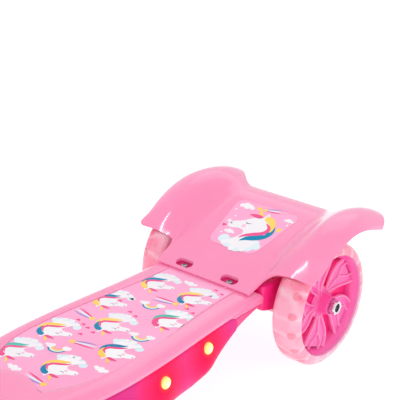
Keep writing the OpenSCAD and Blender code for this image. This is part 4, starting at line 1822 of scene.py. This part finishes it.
@dataclass
class Wheel:
    """Spoked wheel with a clear tyre, standing on its middle plane with the axle along y.

    Attributes:
        name: Name of the wheel.
        body: Body that it is.
        outward: Side that its lugs face.
        blades: Number of blades.
        rim_r: Radius of the rim.
        half: Half the rim's width.
        tyre_half: Half the tyre's width.
        hub_r: Radius of the hub's foot.
        phase: Turning of the blades, radians.
    """

    name: str
    body: Body
    outward: int = 1
    blades: int = 5
    rim_r: float = 49.4
    half: float = 13.5
    tyre_half: float = 15.0
    hub_r: float = 13.0
    phase: float = -0.12

    def node(self, part: str) -> str:
        """Name of the frame node of one of this wheel's parts."""
        kind, _, side = self.name.partition("_")
        return f"{kind}_{part}_{side}" if side else f"{kind}_{part}"

    @property
    def centre(self) -> Point3:
        """Middle of the wheel."""
        return tuple(node_centre(self.node("tyre")))

    def build(self) -> None:
        """Builds the rim, the races and the tyre, and dresses the bush."""
        self.rim()
        self.races()
        self.tyre()
        dress(self.node("bush"), STEEL)

    def line(self, which: float, start: float = 0.0, stop: float = 1.0) -> list[Point3]:
        """Line up a blade.

        Args:
            which: -1 and 1 along the blade's edges, 0 up its middle.
            start: Share where it starts.
            stop: Share where it ends.

        Returns:
            The points as (x, z, share).
        """
        inner, outer = self.hub_r - 0.5, self.rim_r - 3.7
        out = []
        for i in range(17):
            t = mix(start, stop, i / 16)
            r = mix(inner, outer, t)
            a = 0.2 * t * t + which * (0.24 + 0.2 * math.sin(math.pi * 0.75 * t))
            out.append((r * math.cos(a), r * math.sin(a), t))
        return out

    def dish(self, t: float) -> float:
        """Height of a blade's face over the middle plane at a share of the way out."""
        return mix(1.8, 6.6, t)

    def rib(self, skin: Skin, path: Sequence[Point3], sign: int, width: float) -> None:
        """Adds a rounded rib along a path on one face, in the paler pink of a painted highlight.

        Args:
            skin: Skin that takes it.
            path: Its line as (x, z, share).
            sign: Face that it stands on.
            width: Half its width.
        """
        rows = []
        for i, (x, z, t) in enumerate(path):
            a, b = path[max(0, i - 1)], path[min(len(path) - 1, i + 1)]
            along = Vector((b[0] - a[0], b[1] - a[1])).normalized()
            across = Vector((-along.y, along.x)) * width
            section = ((1.4, -0.3), (1.0, 1.2), (0.5, 1.8), (-0.5, 1.8), (-1.0, 1.2), (-1.4, -0.3))
            rows.append([(x + across.x * k, sign * (self.dish(t) + h), z + across.y * k)
                         for k, h in section])
        first = len(skin.inks)
        skin.sheet(rows, closed=True, capped=True)
        # Material 2 is the paler pink, a painted highlight on the rib.
        skin.inks[first:] = [2] * (len(skin.inks) - first)

    def blade(self, sign: int) -> Skin:
        """One leaf-shaped blade, with ribs along its edges and two that branch off its middle.

        Args:
            sign: Face that it stands on.

        Returns:
            Its skin.
        """
        skin = Skin()
        left, right = self.line(-1), self.line(1)
        rows = []
        for (ax, az, t), (bx, bz, _) in zip(left, right):
            top = [(mix(ax, bx, k / 6), sign * self.dish(t), mix(az, bz, k / 6)) for k in range(7)]
            rows.append([(ax, sign * 0.4, az), *top, (bx, sign * 0.4, bz)])
        skin.sheet(rows, closed=True, capped=True)
        stem = self.line(0.0, 0.0, 0.5)
        for path in (left, right, stem):
            self.rib(skin, path, sign, 0.85)
        for lean in (-0.5, 0.5):
            trunk, tip = self.line(0.0, 0.45, 1.0), self.line(lean, 0.45, 1.0)
            fork = [(mix(a[0], b[0], ease(i / 12)), mix(a[1], b[1], ease(i / 12)), a[2])
                    for i, (a, b) in enumerate(zip(trunk, tip))]
            self.rib(skin, fork, sign, 0.7)
        return skin

    def rim(self) -> None:
        """Barrel, hub, floor disc and blades."""
        skin = Skin()
        h = self.half
        r = self.rim_r
        barrel = [(r, -h), (r, h), (r - 0.6, h - 1.0), (r - 1.8, h - 2.5), (r - 3.6, h - 6), (r - 4.8, 5),
                  (r - 5.2, 0), (r - 4.8, -5), (r - 3.6, -h + 6), (r - 1.8, -h + 2.5), (r - 0.6, -h + 1.0)]
        skin.lathe(barrel, 128)
        for side in (1, -1):
            # The lips take material 2, the paler pink of a painted highlight.
            lip = [(r - 0.8, h - 1.4), (r + 1.5, h - 0.4), (r + 2.0, h + 0.6), (r + 1.4, h + 1.3),
                   (r + 0.2, h + 1.1), (r - 0.7, h - 0.2)]
            skin.lathe([(x, side * y) for x, y in (lip if side > 0 else lip[::-1])], 128, 2)
        side = [(7.6, h - 1.0), (7.6, h + 0.9), (8.0, h + 1.3), (8.7, h + 0.9), (9.1, h - 0.6), (9.5, h - 4.0),
                (10.0, 6.5), (10.9, 4.4), (12.6, 2.8), (self.hub_r + 2.5, 2.0), (self.hub_r + 2.5, 0.0)]
        hub = [(7.6, 0.0), *side, *[(x, -y) for x, y in side[-2::-1]]]
        skin.lathe(hub, 64)
        skin.lathe([(self.hub_r - 2, -0.7), (self.hub_r - 2, 0.7), (r - 4.5, 0.7), (r - 4.5, -0.7)], 96, 1)
        for sign in (1, -1):
            one = self.blade(sign)
            for k in range(self.blades):
                a = 2 * math.pi * k / self.blades + self.phase
                c, s = math.cos(a), math.sin(a)
                skin.add([(x * c - z * s, y, x * s + z * c) for x, y, z in one.points], one.faces)
                skin.inks[-len(one.inks):] = one.inks
        make(f"{self.name}_spoked_rim", skin, self.body, [HOT_PINK, DEEP_PINK, RIB_HIGHLIGHT_PINK],
             origin=self.centre, edge=Edge(angle=40), replaces=[self.node("rim")])

    def races(self) -> None:
        """Ball races at both ends of the hub."""
        races = Skin()
        for side in (1, -1):
            ring = [(4.02, side * 4.0), (9.0, side * 4.0), (9.0, side * 10.5), (4.02, side * 10.5)]
            races.lathe(ring if side > 0 else ring[::-1], 48)
        make(f"{self.name}_ball_races", races, self.body, [STEEL], origin=self.centre,
             edge=Edge(0.3, 2, 40), replaces=[self.node("bearings")])

    def tyre(self) -> None:
        """Clear tyre with soft shoulders."""
        skin = Skin()
        h, r = self.tyre_half, WHEEL_R
        round_r, round_h = r - self.rim_r - 1.4, 8.5
        side = [(r - round_r * (1 - math.cos(a)), h - round_h * (1 - math.sin(a)))
                for a in (math.pi / 2 * k / 14 for k in range(15))]
        profile = [(self.rim_r, -h + 0.4), *[(x, -y) for x, y in side[::-1]], *side, (self.rim_r, h - 0.4)]
        skin.lathe(profile, 160)
        turn = Matrix.Rotation(math.pi, 3, "Z") if self.outward < 0 else None
        make(f"{self.name}_clear_tyre", skin, self.body, [TYRE_CLEAR], origin=self.centre,
             turn=turn, edge=Edge(angle=50), replaces=[self.node("tyre")])


# ---------------------------------------------------------------- bracket, column and handlebar


def hex_nut(radius: float, height: float) -> Skin:
    """Hexagonal nut with a round shoulder and a socket whose floor is dark, a painted shade, standing on y =
    0.

    Args:
        radius: Distance of its corners from its middle.
        height: Its height.

    Returns:
        Its skin, with the socket's floor in material 1, a painted shade.
    """
    skin = Skin()
    n = 48
    rows = []
    for y, grow, hexed in ((0.0, 0.0, 1.0), (height - 1.4, 0.0, 1.0), (height, -1.1, 0.35),
                           (height, -2.8, 0.0), (height - 0.4, -3.4, 0.0), (1.6, -3.4, 0.0)):
        row = []
        for k in range(n):
            a = 2 * math.pi * k / n
            flat = radius * math.cos(math.pi / 6) / math.cos((a % (math.pi / 3)) - math.pi / 6)
            r = mix(radius, flat, hexed) + grow
            row.append((r * math.cos(a), y, r * math.sin(a)))
        rows.append(row)
    skin.sheet(rows, closed=True)
    # Socket floor in material 1, dark, as painted shade at the bottom of the hole.
    skin.add([(0.0, 1.6, 0.0), *rows[-1]], [(0, 1 + (k + 1) % n, 1 + k) for k in range(n)], 1)
    return skin


@dataclass
class RearBracket:
    """Hot pink bracket between the rear wheels, with the axle, its nuts and its spacers.

    Attributes:
        half: Half its width.
        low: Height of its underside.
        high: Height of its top.
        nut_from: Distance of a nut from the middle.
        axle_r: Radius of the axle.
        axle_half: Half its length.
    """

    half: float = 58.0
    low: float = 44.0
    high: float = 90.0
    nut_from: float = 95.2
    axle_r: float = 3.9
    axle_half: float = 96.5

    def build(self) -> None:
        """Builds the bracket, the nuts and the axle, and dresses the spacers."""
        self.bracket()
        self.nuts()
        self.axle()
        dress("rear_axle_spacers", HOT_PINK, Edge(0.2))

    def bracket(self) -> None:
        """Block with a sloping underside and rounded ends."""
        side = rounded([(-20, 52), (-6, self.low), (22, self.low), (44, 60.5), (61, 65.5), (61, self.high),
                        (-12, self.high), (-20, 78)], 4.0)
        middle = Vector((21, 66))
        ends = [(self.half, 3.0), (self.half - 1, 1.0), (self.half - 3, 0.0), (30.0, 0.0)]
        skin = Skin()
        rows = []
        for y, inset in [*[(-y, inset) for y, inset in ends], (0.0, 0.0), *ends[::-1]]:
            row = []
            for x, z in side:
                d = Vector((x, z)) - middle
                q = middle + d * (1 - inset / d.length)
                row.append((q.x, y, max(self.low, q.y)))
            rows.append(row)
        skin.sheet(rows, closed=True, capped=True)
        make("rear_bracket", skin, Body.CHASSIS, [DEEP_PINK], origin=(REAR_X, 0, 0),
             edge=Edge(0.8, 3, 40), replaces=["rear_axle_housing"])

    def nuts(self) -> None:
        """Barrel nuts at both ends of the axle."""
        nuts = Skin()
        for side in (1, -1):
            one = hex_nut(7.4, 5.6)
            nuts.add([(x, side * (self.nut_from + y), z) for x, y, z in one.points],
                     [f if side > 0 else f[::-1] for f in one.faces], 0)
            nuts.inks[-len(one.inks):] = one.inks
        # Dark nylon on the socket floors is painted shade.
        make("rear_barrel_nuts", nuts, Body.CHASSIS, [NUT_ZINC, DARK_NYLON],
             edge=Edge(0.35, 3, 30), origin=(REAR_X, 0, WHEEL_R), replaces=["rear_axle_nuts"])

    def axle(self) -> None:
        """Round rod from nut to nut."""
        axle = Skin()
        r, end = self.axle_r, self.axle_half
        axle.lathe([(0.001, -end), (r, -end), (r, end), (0.001, end)], 40)
        make("rear_axle_rod", axle, Body.CHASSIS, [STEEL], origin=(REAR_X, 0, WHEEL_R),
             replaces=["rear_axle"])


@dataclass
class Column:
    """Fork, steering column and tee handlebar.

    Attributes:
        rake: Lean of the column, radians.
        drop: Height of the head tube over the front axle.
        head_r: Radius of the head tube.
        head_len: Length of the head tube.
    """

    rake: float = math.radians(8.0)
    drop: float = 78.0
    head_r: float = 19.0
    head_len: float = 52.0

    @classmethod
    def head_point(cls, along: float) -> Vector:
        """Point on the steering axis.

        Args:
            along: Distance above the bottom of the head tube.

        Returns:
            The point.
        """
        front = node_centre("front_axle")
        lean = Vector((-math.sin(cls.rake), 0, math.cos(cls.rake)))
        return Vector((front.x, 0, front.z)) + lean * (cls.drop + along)

    @classmethod
    def turn(cls) -> Matrix:
        """Turning from upright to the column's lean."""
        return Matrix.Rotation(-cls.rake, 3, "Y")

    def build(self) -> None:
        """Dresses the column's frame nodes."""
        dress("head_tube", STEEL, Edge(0.3))
        dress("head_bushes", DARK_NYLON, Edge(0.4))
        dress("fork", HOT_PINK, Edge(1.5, 4))
        dress("column_tube", WHITE_COAT, Edge(0.3))
        dress("stop_collar", HOT_PINK, Edge(1.0))
        dress("front_axle", STEEL, Edge(0.5))
        dress("front_axle_nuts", NUT_ZINC, Edge(0.5))
        dress("front_axle_spacers", HOT_PINK, Edge(0.2))
        dress("column_bush", DARK_NYLON)
        dress("clamp_collar", HOT_PINK, Edge(0.8))
        dress("clamp_bolt", NUT_ZINC, Edge(0.3))
        dress("lever_pin", STEEL)
        dress("clamp_lever", HOT_PINK, Edge(0.6))
        dress("handle_tube", CHROME, Edge(0.3))
        dress("tee_socket", HOT_PINK, Edge(1.2))
        dress("cross_bar", CHROME)
        dress("grip_left", GRIP_RUBBER, Edge(0.8))
        dress("grip_right", GRIP_RUBBER, Edge(0.8))


# ---------------------------------------------------------------- stage


@dataclass
class Stage:
    """Pale floor, soft light and the camera.

    Attributes:
        eye: Place of the camera, metres.
        aim: Point that it looks at, metres.
        roll: Its tilt, degrees.
        lens: Its focal length, millimetres.
    """

    eye: Point3 = (0.66577, 0.63179, 0.59253)
    aim: Point3 = (-0.05455, 0.05627, 0.20534)
    roll: float = 1.167
    lens: float = 110.07

    def build(self) -> None:
        """Sets the floor, the lights and the camera."""
        self.floor()
        self.sky()
        self.softbox("front_softbox", (0.57, -0.63, 1.33), (-0.16, 0.0, 0.1), (0.08, 0.75), 2.6)
        self.softbox("left_softbox", (0.3, 1.5, 1.0), (0.0, 0.0, 0.1), (1.0, 1.0), 3.4)
        self.softbox("back_softbox", (-1.2, -0.5, 1.3), (0.0, 0.0, 0.1), (1.0, 1.0), 1.5)
        self.camera()

    def floor(self) -> None:
        """Large flat pale floor."""
        skin = Skin()
        rows = []
        for i in range(21):
            x = mix(-6000, 6000, i / 20)
            rows.append([(x, mix(-6000, 6000, j / 20), 0.0) for j in range(21)])
        skin.sheet([r[::-1] for r in rows])
        mesh = bpy.data.meshes.new("floor")
        mesh.from_pydata([tuple(c * MM for c in p) for p in skin.points], [], skin.faces)
        mesh.materials.append(material_of(FLOOR_WHITE))
        piece = bpy.data.objects.new("floor", mesh)
        bpy.context.collection.objects.link(piece)

    def sky(self) -> None:
        """Even white surround."""
        world = bpy.data.worlds.new("studio")
        world.use_nodes = True
        light = world.node_tree.nodes["Background"]
        light.inputs["Color"].default_value = (1.0, 1.0, 1.0, 1.0)
        light.inputs["Strength"].default_value = 0.85
        bpy.context.scene.world = world

    def softbox(self, name: str, at: Point3, aim: Point3, size: Point2, power: float) -> None:
        """Adds an area light.

        Args:
            name: Its name.
            at: Its place, metres.
            aim: Point that it faces.
            size: Its width and height, metres.
            power: Its power, watts.
        """
        data = bpy.data.lights.new(name, "AREA")
        data.shape = "RECTANGLE"
        data.size, data.size_y = size
        data.energy = power
        lamp = bpy.data.objects.new(name, data)
        bpy.context.collection.objects.link(lamp)
        lamp.location = at
        lamp.rotation_euler = (Vector(aim) - Vector(at)).to_track_quat("-Z", "Y").to_euler()

    def camera(self) -> None:
        """Places the camera."""
        data = bpy.data.cameras.new("camera")
        data.lens = self.lens
        data.sensor_width = 36.0
        data.clip_start, data.clip_end = 0.01, 50.0
        camera = bpy.data.objects.new("camera", data)
        bpy.context.collection.objects.link(camera)
        look = Vector(self.aim) - Vector(self.eye)
        right = look.cross(Vector((0, 0, 1))).normalized()
        up = right.cross(look).normalized()
        turn = Matrix((right, up, -look.normalized())).transposed()
        camera.matrix_world = Matrix.Translation(self.eye) @ (
            turn @ Matrix.Rotation(math.radians(self.roll), 3, "Z")).to_4x4()
        bpy.context.scene.camera = camera


def main() -> None:
    """Builds the scooter and its stage."""
    logging.basicConfig(level=logging.INFO, format="%(name)s %(message)s")
    bpy.context.scene.view_settings.view_transform = "Standard"
    Stage().build()
    Deck().build()
    Mat().build()
    Fender().build()
    RearBracket().build()
    for name, body, sign in (("rear_left", Body.REAR_LEFT, 1), ("rear_right", Body.REAR_RIGHT, -1),
                             ("front", Body.FRONT, 1)):
        Wheel(name, body, sign).build()
    Column().build()


if __name__ == "__main__":
    main()
